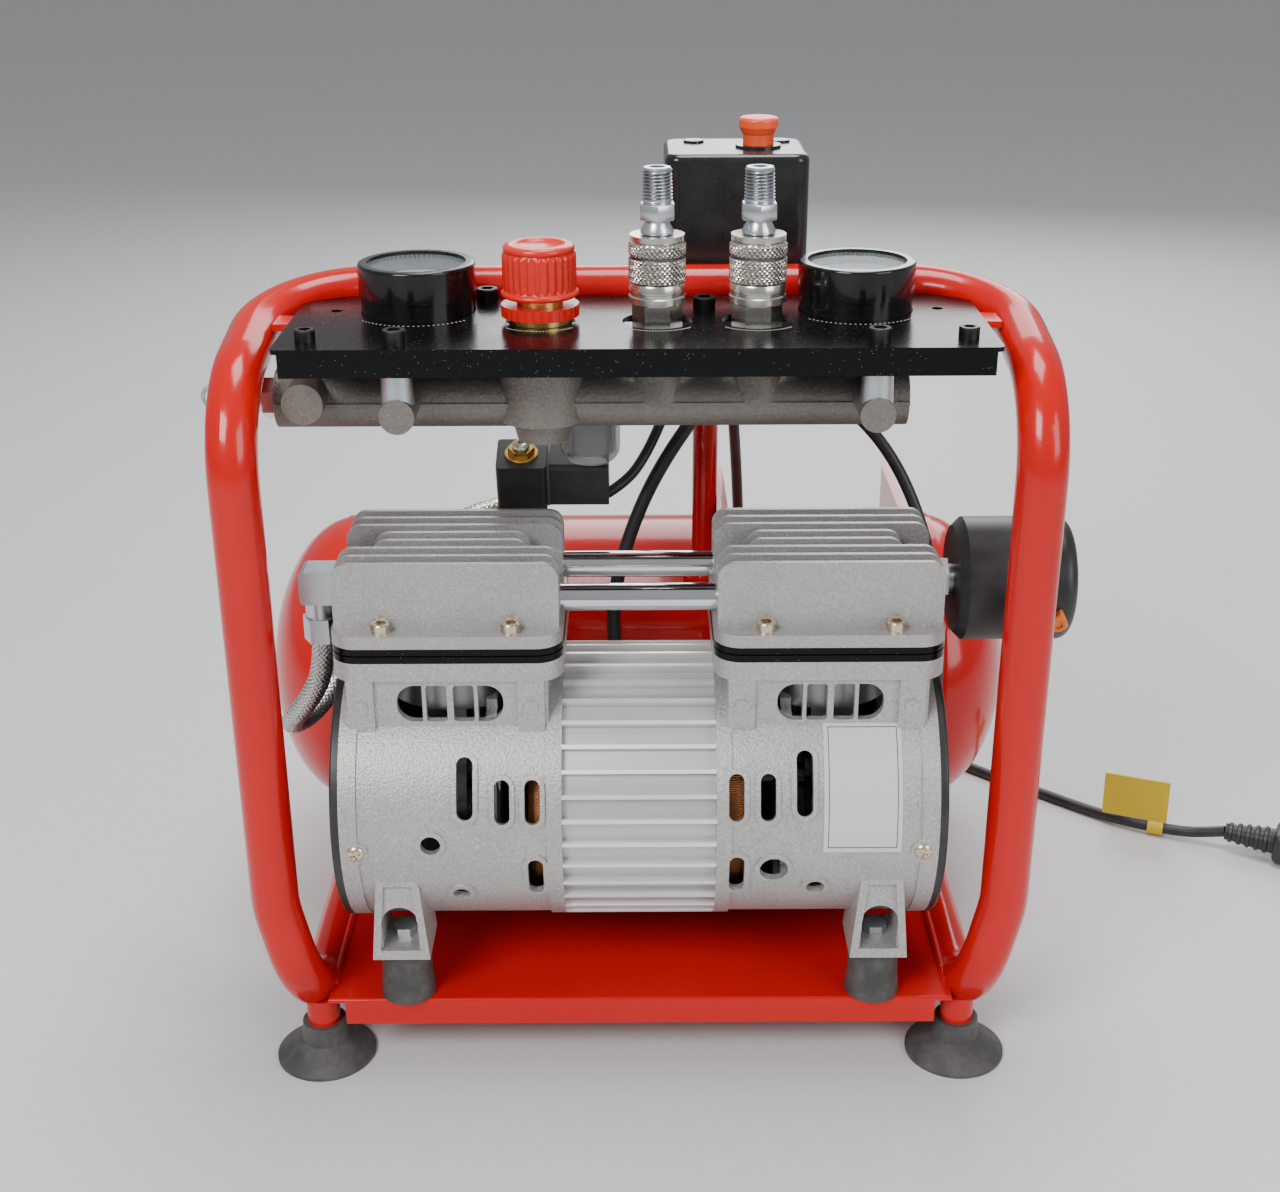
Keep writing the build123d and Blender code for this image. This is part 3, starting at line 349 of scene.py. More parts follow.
def make_finishes():
    colours = bpy.context.scene.compressor_colours
    FINISHES.update({
        "red_enamel": enamel("red_enamel", tuple(colours.enamel)),
        "black_enamel": enamel("black_enamel", (0.003, 0.003, 0.0035), 0.5, 0.0, 0.16),
        "gauge_black": enamel("gauge_black", (0.005, 0.005, 0.006), 0.15, 0.4, 0.3),
        "rubber": moulding("mount_rubber", (0.045, 0.043, 0.040), 0.55, 600, 0.00008, 0.35),
        "foot_rubber": moulding("foot_rubber", (0.055, 0.053, 0.050), 0.5, 500, 0.00008, 0.35),
        "zinc": metal("zinc", (0.60, 0.64, 0.68), 0.30, 0.2),
        "nickel": metal("nickel", (0.72, 0.69, 0.62), 0.20, 0.12),
        "champagne": metal("champagne_nickel", (0.70, 0.60, 0.46), 0.24, 0.12),
        "chrome": metal("chrome", (0.80, 0.81, 0.83), 0.09, 0.06, 400, 0.00001),
        "brass": metal("brass", (0.75, 0.50, 0.16), 0.24, 0.16),
        "black_oxide": metal("black_oxide", (0.055, 0.053, 0.05), 0.36, 0.16),
        "cast_silver": casting("cast_silver", tuple(colours.casting), 0.65, 0.46, 850, 0.00034, 0.36),
        "fins": casting("fin_silver", (0.47, 0.46, 0.45), 0.65, 0.44, 900, 0.0003, 0.32),
        "extruded": metal("extruded_aluminium", (0.60, 0.61, 0.62), 0.40, 0.08, 900, 0.00005, (0.04, 1, 1),
                          0.04),
        "cast_manifold": casting("manifold_casting", (0.21, 0.19, 0.17), 0.65, 0.52, 650, 0.0004, 0.3),
        "core_steel": metal("core_steel", (0.30, 0.30, 0.31), 0.36, 0.14, 500, 0.00006, (2, 0.2, 0.2)),
        "copper": copper("wound_copper_painted_shade"),
        "black_plastic": moulding("black_plastic", (0.012, 0.012, 0.013), 0.20, 900, 0.00002, 0.06),
        "matte_black_plastic": moulding("matte_black_plastic", (0.018, 0.018, 0.019), 0.42, 1300, 0.00006,
                                        0.1),
        "red_plastic": moulding("red_plastic", tuple(colours.knob), 0.28, 700, 0.00003),
        "orange_plastic": moulding("orange_plastic", (0.85, 0.085, 0.02), 0.32, 700, 0.00003),
        "tab_orange": moulding("tab_orange", (0.85, 0.20, 0.005), 0.35, 700, 0.00003),
        "grey_plastic": moulding("grey_plastic", (0.05, 0.052, 0.055), 0.35, 900, 0.00005, 0.1),
        "dial": printed("dial_face", tuple(colours.dial), 0.6, 0.03),
        "mark": printed("dial_mark", (0.015, 0.015, 0.018), 0.5),
        "ring_mark": printed("panel_mark", (0.48, 0.48, 0.47), 0.5),
        "label": printed("label_film", (0.62, 0.63, 0.66), 0.38, 0.05),
        "label_line": printed("label_line", (0.10, 0.11, 0.14), 0.45),
        "needle": printed("needle_lacquer", (0.02, 0.02, 0.02), 0.4),
        "lens": clear("gauge_glass", (0.85, 0.93, 0.97), 0.10, 0.03),
        "bowl": clear("smoked_bowl", (0.12, 0.12, 0.13), 0.55, 0.10),
        "amber": clear("amber_window", (0.9, 0.35, 0.03), 0.85, 0.12),
        # the third number of each cut finish below sets how dark its painted shade is down in the cut
        "braid": cut_metal("wire_braid_painted_shade", (0.80, 0.79, 0.75), 0.12, 0.26),
        "knurled": cut_metal("knurled_nickel_painted_shade", (0.72, 0.69, 0.62), 0.22, 0.17),
        "threaded": cut_metal("threaded_zinc_painted_shade", (0.62, 0.65, 0.69), 0.30, 0.22),
        "finned": finned("finned_aluminium_painted_highlight_and_shade", (0.78, 0.77, 0.75)),
        "cable": moulding("cable_sheath", (0.014, 0.014, 0.015), 0.42, 1100, 0.00004, 0.1),
        "tag": printed("tag_film", tuple(colours.tag), 0.4, 0.1),
    })


NODE_FINISHES = {
    "red_enamel": ("frame_tube", "base_plate", "air_tank", "switch_post"),
    "foot_rubber": ("rubber_feet",),
    "zinc": (
        "base_bolts", "manifold_standoffs", "safety_ring", "left_nipple", "right_nipple",
        "head_fittings", "braided_hose"),
    "rubber": ("rubber_mounts",),
    "black_enamel": ("control_panel", "valve_plates"),
    "champagne": ("cap_screws",),
    "cast_manifold": ("air_manifold",),
    "bowl": ("filter_bowl",),
    "nickel": ("safety_valve", "coupler_bodies", "left_coupler_sleeve", "right_coupler_sleeve"),
    "gauge_black": ("gauge_cases",),
    "dial": ("gauge_dials",),
    "lens": ("gauge_lenses",),
    "needle": ("left_gauge_needle", "right_gauge_needle"),
    "brass": ("regulator_bonnet", "tank_fittings", "solenoid_valve"),
    "red_plastic": ("regulator_lock_ring", "regulator_knob"),
    "black_plastic": ("drain_knob", "switch_cover", "run_capacitor"),
    "matte_black_plastic": (
        "solenoid_coil", "switch_base", "end_covers", "cooling_fans", "intake_silencer", "silencer_cap",
        "cord_gland", "cord_plug"),
    "orange_plastic": ("switch_knob",),
    "finned": ("stator_housing",),
    "core_steel": ("stator_core", "cylinder_liners", "shaft_bearings", "rotor_core", "rotor_shaft"),
    "copper": ("stator_windings",),
    "cast_silver": ("crankcases",),
    "extruded": ("left_piston", "right_piston"),
    "fins": ("cylinder_heads",),
    "chrome": ("crossover_tubes",),
    "cable": ("wiring", "power_cord", "cord_coil"),
    "tag": ("cord_tag",),
}


# ---- modelling by hand ----
def nothing_selected():
    """Leaves edit mode and deselects everything."""
    if bpy.context.object and bpy.context.object.mode != "OBJECT":
        bpy.ops.object.mode_set(mode="OBJECT")
    bpy.ops.object.select_all(action="DESELECT")


def only(piece):
    """Selects this piece alone and makes it active."""
    nothing_selected()
    piece.select_set(True)
    bpy.context.view_layer.objects.active = piece
    return piece


def named(name):
    """Takes the primitive that was just added, with its place put into its mesh."""
    piece = bpy.context.object
    piece.name = name
    piece.data.name = name
    bpy.ops.object.transform_apply(location=True, rotation=True, scale=True)
    return piece


def faced_outward():
    """Turns the active piece's faces outwards."""
    bpy.ops.object.mode_set(mode="EDIT")
    bpy.ops.mesh.select_all(action="SELECT")
    bpy.ops.mesh.normals_make_consistent(inside=False)
    bpy.ops.object.mode_set(mode="OBJECT")


def rounded(bevel, segments=2):
    """Rounds every edge of the active piece by a bevel, in mm."""
    bpy.ops.object.mode_set(mode="EDIT")
    bpy.ops.mesh.select_all(action="SELECT")
    bpy.ops.mesh.bevel(offset=bevel / 1000, segments=segments)
    bpy.ops.object.mode_set(mode="OBJECT")


def turned(name, profile, sides=64):
    """A turned piece: a disc drawn up ring by ring through (radius, height) points, in mm."""
    nothing_selected()
    radius, height = profile[0]
    bpy.ops.mesh.primitive_circle_add(vertices=sides, radius=radius / 1000, fill_type="NGON",
                                      location=mm(0, 0, height))
    piece = named(name)
    bpy.ops.object.mode_set(mode="EDIT")
    bpy.ops.mesh.select_all(action="SELECT")
    for next_radius, next_height in profile[1:]:
        rise = mm(0, 0, next_height - height)
        bpy.ops.mesh.extrude_region_move(TRANSFORM_OT_translate={"value": rise})
        grow = next_radius / radius
        bpy.ops.transform.resize(value=(grow, grow, 1), center_override=mm(0, 0, next_height))
        radius, height = next_radius, next_height
    faced_outward()
    return piece


def boxed(name, low, high, bevel=0.0, segments=2):
    """A block between two corners, in mm, with its edges rounded in edit mode."""
    nothing_selected()
    centre = [(a + b) / 2 for a, b in zip(low, high)]
    size = [b - a for a, b in zip(low, high)]
    bpy.ops.mesh.primitive_cube_add(size=1, location=mm(*centre), scale=mm(*size))
    piece = named(name)
    if bevel:
        rounded(bevel, segments)
    return piece


def moved(piece, place=(0, 0, 0), turn=(0, 0, 0)):
    """Turns a piece about the origin, in degrees, then carries it to its place, in mm."""
    only(piece)
    piece.rotation_euler = [math.radians(angle) for angle in turn]
    piece.location = mm(*place)
    bpy.ops.object.transform_apply(location=True, rotation=True, scale=True)
    return piece


def copied(piece, name, place=(0, 0, 0), turn=(0, 0, 0)):
    """A copy with its own mesh."""
    only(piece)
    bpy.ops.object.duplicate()
    bpy.context.object.name = name
    return moved(bpy.context.object, place, turn)


def joined(name, *pieces):
    """One piece made of several."""
    nothing_selected()
    for piece in pieces:
        piece.select_set(True)
    bpy.context.view_layer.objects.active = pieces[0]
    if len(pieces) > 1:
        bpy.ops.object.join()
    pieces[0].name = name
    return pieces[0]


def cut(piece, *cutters):
    """Cuts the cutters out of the piece and removes them."""
    for cutter in cutters:
        only(piece)
        hole = piece.modifiers.new("hole", "BOOLEAN")
        hole.operation = "DIFFERENCE"
        hole.solver = "EXACT"
        hole.object = cutter
        bpy.ops.object.modifier_apply(modifier="hole")
        bpy.data.objects.remove(cutter)
    return piece


def finished(piece, finish, slot, body="machine", *nodes, angle=35):
    """Smooths a piece, gives it its finish and lets it ride on its body."""
    only(piece)
    if piece.type == "MESH":
        bpy.ops.object.shade_smooth_by_angle(angle=math.radians(angle))
    piece.data.materials.clear()
    piece.data.materials.append(FINISHES[finish])
    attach(piece, body)
    if nodes:
        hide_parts(*nodes)
    return piece


def note_relief(piece, low, high, root, crest):
    """Stores how far out each point of a wall stands, from 0 at the root to 1 at the crest."""
    # the cut finishes paint shade where this relief is low
    relief = piece.data.attributes.new("relief", "FLOAT", "POINT")
    for vertex, value in zip(piece.data.vertices, relief.data):
        out = (math.hypot(vertex.co.x, vertex.co.y) * 1000 - root) / (crest - root)
        value.value = min(1.0, max(0.0, out)) if low <= vertex.co.z * 1000 <= high else 1.0
    return piece


def rows(low, high, step):
    """Evenly spaced heights from low to high, about a step apart."""
    count = max(1, round((high - low) / step))
    return [low + (high - low) * index / count for index in range(count + 1)]


class PieceOperator(bpy.types.Operator):
    """What the operators share."""
    bl_options = {"REGISTER", "UNDO"}


# ---- stage ----
class COMPRESSOR_OT_stage(PieceOperator):
    """Camera, soft lights and a plain pale floor"""
    bl_idname = "compressor.stage"
    bl_label = "Stage"

    def execute(self, context):
        lens = bpy.data.cameras.new("camera")
        lens.lens = 48.85
        lens.sensor_width = 36.0
        camera = bpy.data.objects.new("camera", lens)
        context.scene.collection.objects.link(camera)
        look = Matrix.Identity(4)
        for axis, angle in CAMERA_TURNS:
            look = look @ Matrix.Rotation(math.radians(angle), 4, axis)
        camera.matrix_world = Matrix.Translation(mm(*CAMERA)) @ look
        context.scene.camera = camera
        nothing_selected()
        bpy.ops.mesh.primitive_plane_add(size=80, location=(0, 0, 0))
        floor = named("floor")
        paper = Finish("pale_floor")
        grain = paper.noise(180, 3, 0.6)
        floor.data.materials.append(paper.shade(
            Base_Color=paper.blend(grain, (0.60, 0.60, 0.60), (0.66, 0.66, 0.66)), Roughness=0.7,
            Normal=paper.bump(grain, 0.0001, 0.2)))
        for name, place, size, power in (
            ("key", (-0.9, -1.5, 1.5), 0.8, 36.0), ("fill", (1.3, -1.2, 0.9), 0.9, 13.0),
            ("top", (0.1, 0.1, 1.7), 0.7, 18.0), ("back", (0.3, 1.6, 1.1), 1.2, 20.0),
        ):
            light = bpy.data.lights.new(name, "AREA")
            light.energy = power
            light.size = size
            lamp = bpy.data.objects.new(name, light)
            lamp.location = place
            lamp.rotation_euler = (Vector((0, 0, 0.2)) - Vector(place)).to_track_quat("-Z", "Y").to_euler()
            context.scene.collection.objects.link(lamp)
        world = bpy.data.worlds.new("soft_room")
        world.use_nodes = True
        world.node_tree.nodes["Background"].inputs[0].default_value = (0.80, 0.82, 0.85, 1.0)
        world.node_tree.nodes["Background"].inputs[1].default_value = 0.45
        context.scene.world = world
        return {"FINISHED"}


class COMPRESSOR_OT_finishes(PieceOperator):
    """Gives every carried-over node its finish"""
    bl_idname = "compressor.finishes"
    bl_label = "Finishes"

    def execute(self, context):
        make_finishes()
        for finish, nodes in NODE_FINISHES.items():
            for node in nodes:
                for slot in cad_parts[node].material_slots:
                    slot.material = FINISHES[finish]
        return {"FINISHED"}


# ---- power cord ----
def nurbs_through(name, points):
    """A smooth curve with these control points, in mm."""
    data = bpy.data.curves.new(name, "CURVE")
    data.dimensions = "3D"
    spline = data.splines.new("NURBS")
    spline.points.add(len(points) - 1)
    for point, place in zip(spline.points, points):
        point.co = (*mm(*place), 1.0)
    spline.order_u = 3
    spline.use_endpoint_u = True
    curve = bpy.data.objects.new(name, data)
    bpy.context.scene.collection.objects.link(curve)
    return curve


def behind_front(points):
    """Points whose Y was measured back from the uprights."""
    return [(x, FRONT + y, z) for x, y, z in points]


def coil_points(turns, step=15.0):
    """The put-away turns: two beside each other on the floor and two on top of them."""
    # turns so far, radius and height
    stages = ((0.0, 46.2, 3.3), (0.25, 46.2, 3.3), (0.42, 39.6, 3.3), (1.25, 39.4, 3.3), (1.42, 32.8, 3.3),
              (2.22, 32.8, 3.3), (2.42, 32.9, 9.9), (3.22, 32.9, 9.9), (3.42, 39.6, 9.9), (4.25, 39.8, 9.9))
    points = []
    for index in range(1, int(turns * 360 / step) + 1):
        turn = index * step / 360
        for (start, near, low), (stop, far, high) in zip(stages, stages[1:]):
            if start <= turn <= stop + 0.001:
                share = (turn - start) / (stop - start)
                share = share * share * (3 - 2 * share)
                radius = near + (far - near) * share
                height = low + (high - low) * share
        angle = math.radians(180 - 360 * turn)
        points.append((COIL[0] + radius * math.cos(angle), COIL[1] + radius * math.sin(angle), height))
    return points


BLADE_XS = (-6.35, 6.35)


class COMPRESSOR_OT_power_cord(PieceOperator):
    """The mains lead: down behind the switch, into its coil and out to the plug"""
    bl_idname = "compressor.power_cord"
    bl_label = "Power Cord"

    def execute(self, context):
        sizes = context.scene.compressor_sizes
        g = GLAND_Y
        drop = [
            (47, g + 27, 350), (47, g + 42, 350), (47, g + 59, 343), (48, g + 75, 328),
            (50, g + 88, 306), (53, g + 98, 279), (56, g + 104, 245), (59, g + 107, 207),
            (61, g + 108, 168), (62, g + 108, 129), (61, g + 109, 92), (57, g + 110, 59),
            (48, g + 110, 33), (34, g + 112, 14), (17, g + 119, 4.5), (3, g + 132, 3.3),
            (-4, g + 147, 3.3), (-6, g + 160, 3.3),
        ]
        lead = [
            (52, COIL[1] + 40, 9.9), (66, COIL[1] + 39.5, 9.8), (80, COIL[1] + 37.5, 9.0),
            (94, COIL[1] + 33, 6), (124, COIL[1] + 18, 3.4),
            (153, COIL[1] - 2, 3.3), (181, COIL[1] - 25, 3.3), (206, COIL[1] - 51, 3.3),
            (229, FRONT + 279, 3.3), (251, FRONT + 261, 3.3), (273, FRONT + 241, 3.3),
            (296, FRONT + 222, 4.6), (326, FRONT + 209, 5.2), (337, FRONT + 204, 8), PLUG,
        ]
        cord = nurbs_through("mains_cord", drop + coil_points(sizes.cord_turns) + lead)
        cord.data.bevel_depth = sizes.cord_diameter / 2
        cord.data.bevel_resolution = 5
        cord.data.resolution_u = 6
        cord.data.use_fill_caps = True
        finished(cord, "cable", "cable", "machine", "power_cord", "cord_coil")
        plug, prongs = self.plug(PLUG)
        mm(47, g + 27, 350)
        return {"FINISHED"}

    def plug(self, place):
        """The moulded mains plug: ribbed relief, waisted grip, two blades and a round earth pin."""
        profile = [(3.5, 0.0), (4.6, 0.0), (5.0, 0.5)]
        for index in range(5):
            low = 1.8 + 5 * index
            near = 4.9 + 0.5 * index
            far = near + 1.0
            profile += [(near, low), (far, low + 0.4), (far, low + 2.2), (near + 0.1, low + 2.7)]
        profile += [(7.4, 27.0), (7.9, 28.6), (7.9, 30.0)]
        relief = turned("plug_relief", profile, 40)
        grip = boxed("plug_grip", (-11.4, -9.4, 27.6), (11.4, 9.4, 57.8), 3.6, 4)
        for vertex in grip.data.vertices:
            waist = 1 - 0.13 * math.sin(math.pi * min(1.0, max(0.0, (vertex.co.z - 0.030) / 0.024)))
            vertex.co.x *= waist
        blades = [boxed("blade", (x - 0.75, -1.1, 56.0), (x + 0.75, 5.1, 74.8), 0.35) for x in BLADE_XS]
        pin = turned("earth_pin", [(2.4, 56.0), (2.4, 74.6), (2.1, 76.0), (1.3, 76.8), (0.3, 77.0)], 32)
        pin = moved(pin, (0, -5, 0))
        across, ahead = Vector((0.423, 0.906, 0)).normalized(), Vector((0.906, -0.423, 0)).normalized()
        seat = Matrix((across, ahead.cross(across), ahead)).transposed().to_4x4()
        seat.translation = mm(*place)
        body, prongs = joined("plug_body", relief, grip), joined("plug_prongs", *blades, pin)
        for piece in (body, prongs):
            piece.data.transform(seat)
        finished(body, "matte_black_plastic", "matte_black_plastic", "machine", "cord_plug")
        return body, finished(prongs, "brass", "brass")


class COMPRESSOR_OT_internal_leads(PieceOperator):
    """The motor, solenoid and capacitor leads"""
    bl_idname = "compressor.internal_leads"
    bl_label = "Internal Leads"

    def execute(self, context):
        motor = [
            (48, 150, 330), (46, 146, 316), (38, 137, 302), (26, 127, 288), (14, 120, 272),
            (4, 117, 254), (-4, 115, 234), (-10, 112, 214), (-13, 107, 196), (-12, 99, 182),
        ]
        solenoid = [
            (24, 146, 330), (23, 143, 318), (19, 136, 304), (12, 127, 289), (4, 118, 274),
            (-5, 111, 263), (-15, 107, 258),
        ]
        capacitor = [
            (68, 150, 330), (74, 147, 316), (88, 141, 304), (106, 134, 292), (122, 127, 276),
            (134, 120, 256), (143, 113, 232), (149, 106, 206), (151, 101, 178), (151, 99, 150),
            (151, 100, 122), (149, 103, 98), (141, 110, 78), (126, 116, 65), (106, 119, 59),
            (84, 115, 58), (60, 112, 58),
        ]
        for name, route, radius in (("motor_lead", motor, 3.4), ("solenoid_lead", solenoid, 2.6),
                                    ("capacitor_lead", capacitor, 3.0)):
            lead = nurbs_through(name, behind_front(route))
            lead.data.bevel_depth = radius / 1000
            lead.data.bevel_resolution = 4
            lead.data.use_fill_caps = True
            finished(lead, "cable", "cable", "machine", "wiring")
        return {"FINISHED"}


class COMPRESSOR_OT_cord_relief(PieceOperator):
    """The ribbed, tapered relief where the lead leaves the switch"""
    bl_idname = "compressor.cord_relief"
    bl_label = "Cord Relief"

    def execute(self, context):
        profile = [(6.0, 0.0), (8.0, 0.0), (8.0, 5.6), (7.2, 6.6), (6.2, 7.0)]
        for index in range(6):
            near, low = 5.3 - 0.24 * index, 8.0 + 3 * index
            profile += [(near, low), (near + 0.7, low + 0.3), (near + 0.7, low + 1.5), (near, low + 1.8)]
        profile += [(4.0, 26.4), (3.4, 26.9)]
        relief = moved(turned("cord_relief", profile, 48), (47, GLAND_Y + 0.1, 350), (-90, 0, 0))
        finished(relief, "matte_black_plastic", "matte_black_plastic", "machine", "cord_gland")
        return {"FINISHED"}


class COMPRESSOR_OT_weld_beads(PieceOperator):
    """Rippled weld beads of the base plate, the switch post and the tank's bracket"""
    bl_idname = "compressor.weld_beads"
    bl_label = "Weld Beads"

    def bead(self, length, radius):
        tip = radius * 0.4
        ripple = [(radius * (0.84 + 0.2 * abs(math.sin(height * 1.35))), height)
                  for height in rows(0.5, length, 0.58)]
        return turned("bead", [(tip, 0.0), *ripple, (tip, length + 0.4)], 12)

    def execute(self, context):
        beads = []
        for side in (-1, 1):
            along = self.bead(112, 2.0)
            beads.append(moved(along, (side * 148.6, FRONT + 12, 38.9), (-90, 0, 0)))
        beads.append(moved(self.bead(88, 1.6), (45.5, FRONT + 134.6, 173.6), (0, 90, 0)))
        nothing_selected()
        bpy.ops.mesh.primitive_torus_add(major_radius=0.0078, minor_radius=0.0016, major_segments=96,
                                         minor_segments=12, location=(0, 0, 0))
        ring = named("post_bead")
        for vertex in ring.data.vertices:
            angle = math.atan2(vertex.co.y, vertex.co.x)
            vertex.co.z *= 0.85 + 0.25 * abs(math.sin(angle * 12))
        beads.append(moved(ring, (34.5, FRONT + 155, 197.2)))
        finished(joined("weld_beads", *beads), "red_enamel", "red_enamel")
        return {"FINISHED"}


# ---- outlets ----
def corrugated(piece, low, high, change):
    """Moves the wall of a turned piece in or out between two heights, by change(angle, height), in mm."""
    for vertex in piece.data.vertices:
        height = vertex.co.z * 1000
        radius = math.hypot(vertex.co.x, vertex.co.y) * 1000
        if low <= height <= high and radius > 0.01:
            grow = 1 + change(math.atan2(vertex.co.y, vertex.co.x), height) / radius
            vertex.co.x *= grow
            vertex.co.y *= grow
    return piece


class COMPRESSOR_OT_coupler_sleeves(PieceOperator):
    """Diamond-knurled pull sleeves of the quick couplers"""
    bl_idname = "compressor.coupler_sleeves"
    bl_label = "Coupler Sleeves"

    def execute(self, context):
        depth = context.scene.compressor_sizes.knurl_depth * 1000
        knurl = rows(376.2, 385.4, 0.33)
        profile = [(9.6, 366.3), (11.9, 366.3), (12.4, 366.8), (12.4, 369.4), (11.7, 370.0), (11.7, 371.2),
                   (12.1, 371.5), (12.1, 374.6), (11.8, 375.2), (12.0, 376.0)]
        profile += [(12.2, height) for height in knurl]
        profile += [(11.9, 385.8), (11.7, 386.1), (11.7, 386.9), (12.1, 387.2)]
        profile += [(12.2, height) for height in rows(388.0, 391.8, 0.35)]
        profile += [(12.0, 392.2), (11.6, 392.8), (9.6, 392.8)]
        sleeve = turned("coupler_sleeve", profile, 204)

        def diamonds(angle, height):
            """Pyramids between two crossing sets of grooves."""
            right = abs((angle * KNURLS / math.tau + height / KNURL_RISE) % 1.0 - 0.5)
            left = abs((angle * KNURLS / math.tau - height / KNURL_RISE) % 1.0 - 0.5)
            return depth * (min(1.0, 4.4 * min(right, left)) - 0.6)

        corrugated(sleeve, 376.19, 385.41, diamonds)
        corrugated(sleeve, 387.9, 391.9, diamonds)
        bore = turned("sleeve_bore", [(11.2, 365.0), (11.2, 384.0), (9.55, 384.2), (9.55, 394.0)], 64)
        note_relief(cut(sleeve, bore), 376.0, 392.0, 12.2 - 0.6 * depth, 12.2 + 0.2 * depth)
        for side, x in zip(("left", "right"), COUPLER_XS):
            piece = copied(sleeve, f"{side}_sleeve_knurled", (x, PIPE_Y, 0))
            finished(piece, "knurled", "nickel", f"{side}_sleeve", f"{side}_coupler_sleeve", angle=28)
        bpy.data.objects.remove(sleeve)
        return {"FINISHED"}


class COMPRESSOR_OT_outlet_nipples(PieceOperator):
    """Threaded outlet nipples, a tapered pipe thread over a hexagon"""
    bl_idname = "compressor.outlet_nipples"
    bl_label = "Outlet Nipples"

    def execute(self, context):
        depth = context.scene.compressor_sizes.thread_depth * 1000
        profile = [(3.4, 375.0), (5.4, 375.0), (5.8, 375.5), (5.8, 396.0), (7.2, 396.2), (7.3, 397.2),
                   (5.1, 401.4), (4.8, 402.0), (6.0, 402.0), (6.0, 409.0), (5.9, 409.4)]
        profile += [(6.75 - 0.028 * (height - 409.6), height) for height in rows(409.8, 423.0, 0.2)]
        profile += [(5.7, 423.9), (3.4, 424.0), (3.4, 400.0)]
        stem = turned("outlet_stem", profile, 48)

        def thread(angle, height):
            """A groove that winds round once for each pitch and fades at both ends."""
            turn = (height / THREAD_PITCH - angle / math.tau) % 1.0
            fade = min(1.0, (height - 409.8) / 1.0, (423.1 - height) / 1.0)
            return -depth * max(0.0, fade) * (abs(turn - 0.5) * 2)

        corrugated(stem, 409.79, 423.01, thread)
        nothing_selected()
        bpy.ops.mesh.primitive_cylinder_add(vertices=6, radius=0.00843, depth=0.007, location=mm(0, 0, 405.5))
        nut = named("outlet_hexagon")
        rounded(0.5)
        cut(nut, turned("nut_bore", [(5.95, 401.0), (5.95, 410.5)], 48))
        nipple = note_relief(joined("outlet_nipple", stem, nut), 410.0, 423.0, 5.8, 6.6)
        for side, x in zip(("left", "right"), COUPLER_XS):
            piece = copied(nipple, f"{side}_nipple_threaded", (x, PIPE_Y, 0))
            finished(piece, "threaded", "zinc", f"{side}_outlet", f"{side}_nipple", angle=50)
        bpy.data.objects.remove(nipple)
        return {"FINISHED"}


class COMPRESSOR_OT_regulator_knob(PieceOperator):
    """The ribbed pressure knob with its dished top"""
    bl_idname = "compressor.regulator_knob"
    bl_label = "Regulator Knob"

    def execute(self, context):
        profile = [(6.2, 369.5), (16.2, 369.5), (16.9, 370.0), (16.9, 371.3), (16.2, 371.8), (15.6, 372.4)]
        profile += [(15.6, height) for height in rows(373.0, 387.5, 1.2)]
        profile += [(15.0, 388.4), (14.9, 388.6), (15.4, 389.0), (15.4, 390.6), (14.6, 391.6), (13.2, 392.0),
                    (10.6, 392.0), (10.0, 391.4), (9.6, 390.9), (1.0, 390.7)]
        knob = turned("ribbed_knob", profile, 168)

        def ribs(angle, height):
            """Square-topped ribs that fade at both ends."""
            wave = math.cos(angle * KNOB_RIBS)
            fade = min(1.0, (height - 372.3) / 1.0, (388.5 - height) / 1.2)
            return 0.75 * max(0.0, fade) * max(-0.6, min(0.6, wave * 1.3))

        corrugated(knob, 372.39, 387.51, ribs)
        piece = cut(knob, turned("knob_bore", [(6.1, 368.0), (6.1, 386.5)], 48))
        moved(piece, (REGULATOR_X, PIPE_Y, 0))
        finished(piece, "red_plastic", "red_plastic", "regulator", "regulator_knob", angle=60)
        return {"FINISHED"}


# ---- gauges and panel ----
class COMPRESSOR_OT_dial_marks(PieceOperator):
    """Scale marks and numbers on the two dials"""
    bl_idname = "compressor.dial_marks"
    bl_label = "Dial Marks"

    def execute(self, context):
        for side, x in zip(("left", "right"), GAUGE_XS):
            marks = []
            for index in range(51):
                long = index % 10 == 0
                inner = 16.6 if long else 18.2 if index % 5 == 0 else 19.2
                half = 0.32 if long else 0.16
                mark = boxed("mark", (inner, -half, DIAL_Z + 0.02), (20.6, half, DIAL_Z + 0.12))
                marks.append(moved(mark, (x, GAUGE_Y, 0), (0, 0, 225 - index * 5.4)))
            band = boxed("band", (20.6, -0.2, DIAL_Z + 0.02), (20.9, 0.2, DIAL_Z + 0.12))
            marks += [copied(band, "band", (x, GAUGE_Y, 0), (0, 0, 225 - index)) for index in range(271)]
            bpy.data.objects.remove(band)
            for index in range(6):
                angle = math.radians(225 - index * 54)
                nothing_selected()
                bpy.ops.object.text_add(location=(0, 0, 0))
                number = bpy.context.object
                number.data.body = str(index * 2)
                number.data.size = 0.0052
                number.data.align_x = "CENTER"
                number.data.align_y = "CENTER"
                number.data.extrude = 0.00005
                bpy.ops.object.convert(target="MESH")
                place = (x + 13.2 * math.cos(angle), GAUGE_Y + 13.2 * math.sin(angle), DIAL_Z + 0.08)
                marks.append(moved(bpy.context.object, place))
            finished(joined(f"{side}_dial_marks", *marks), "mark", "needle")
        return {"FINISHED"}


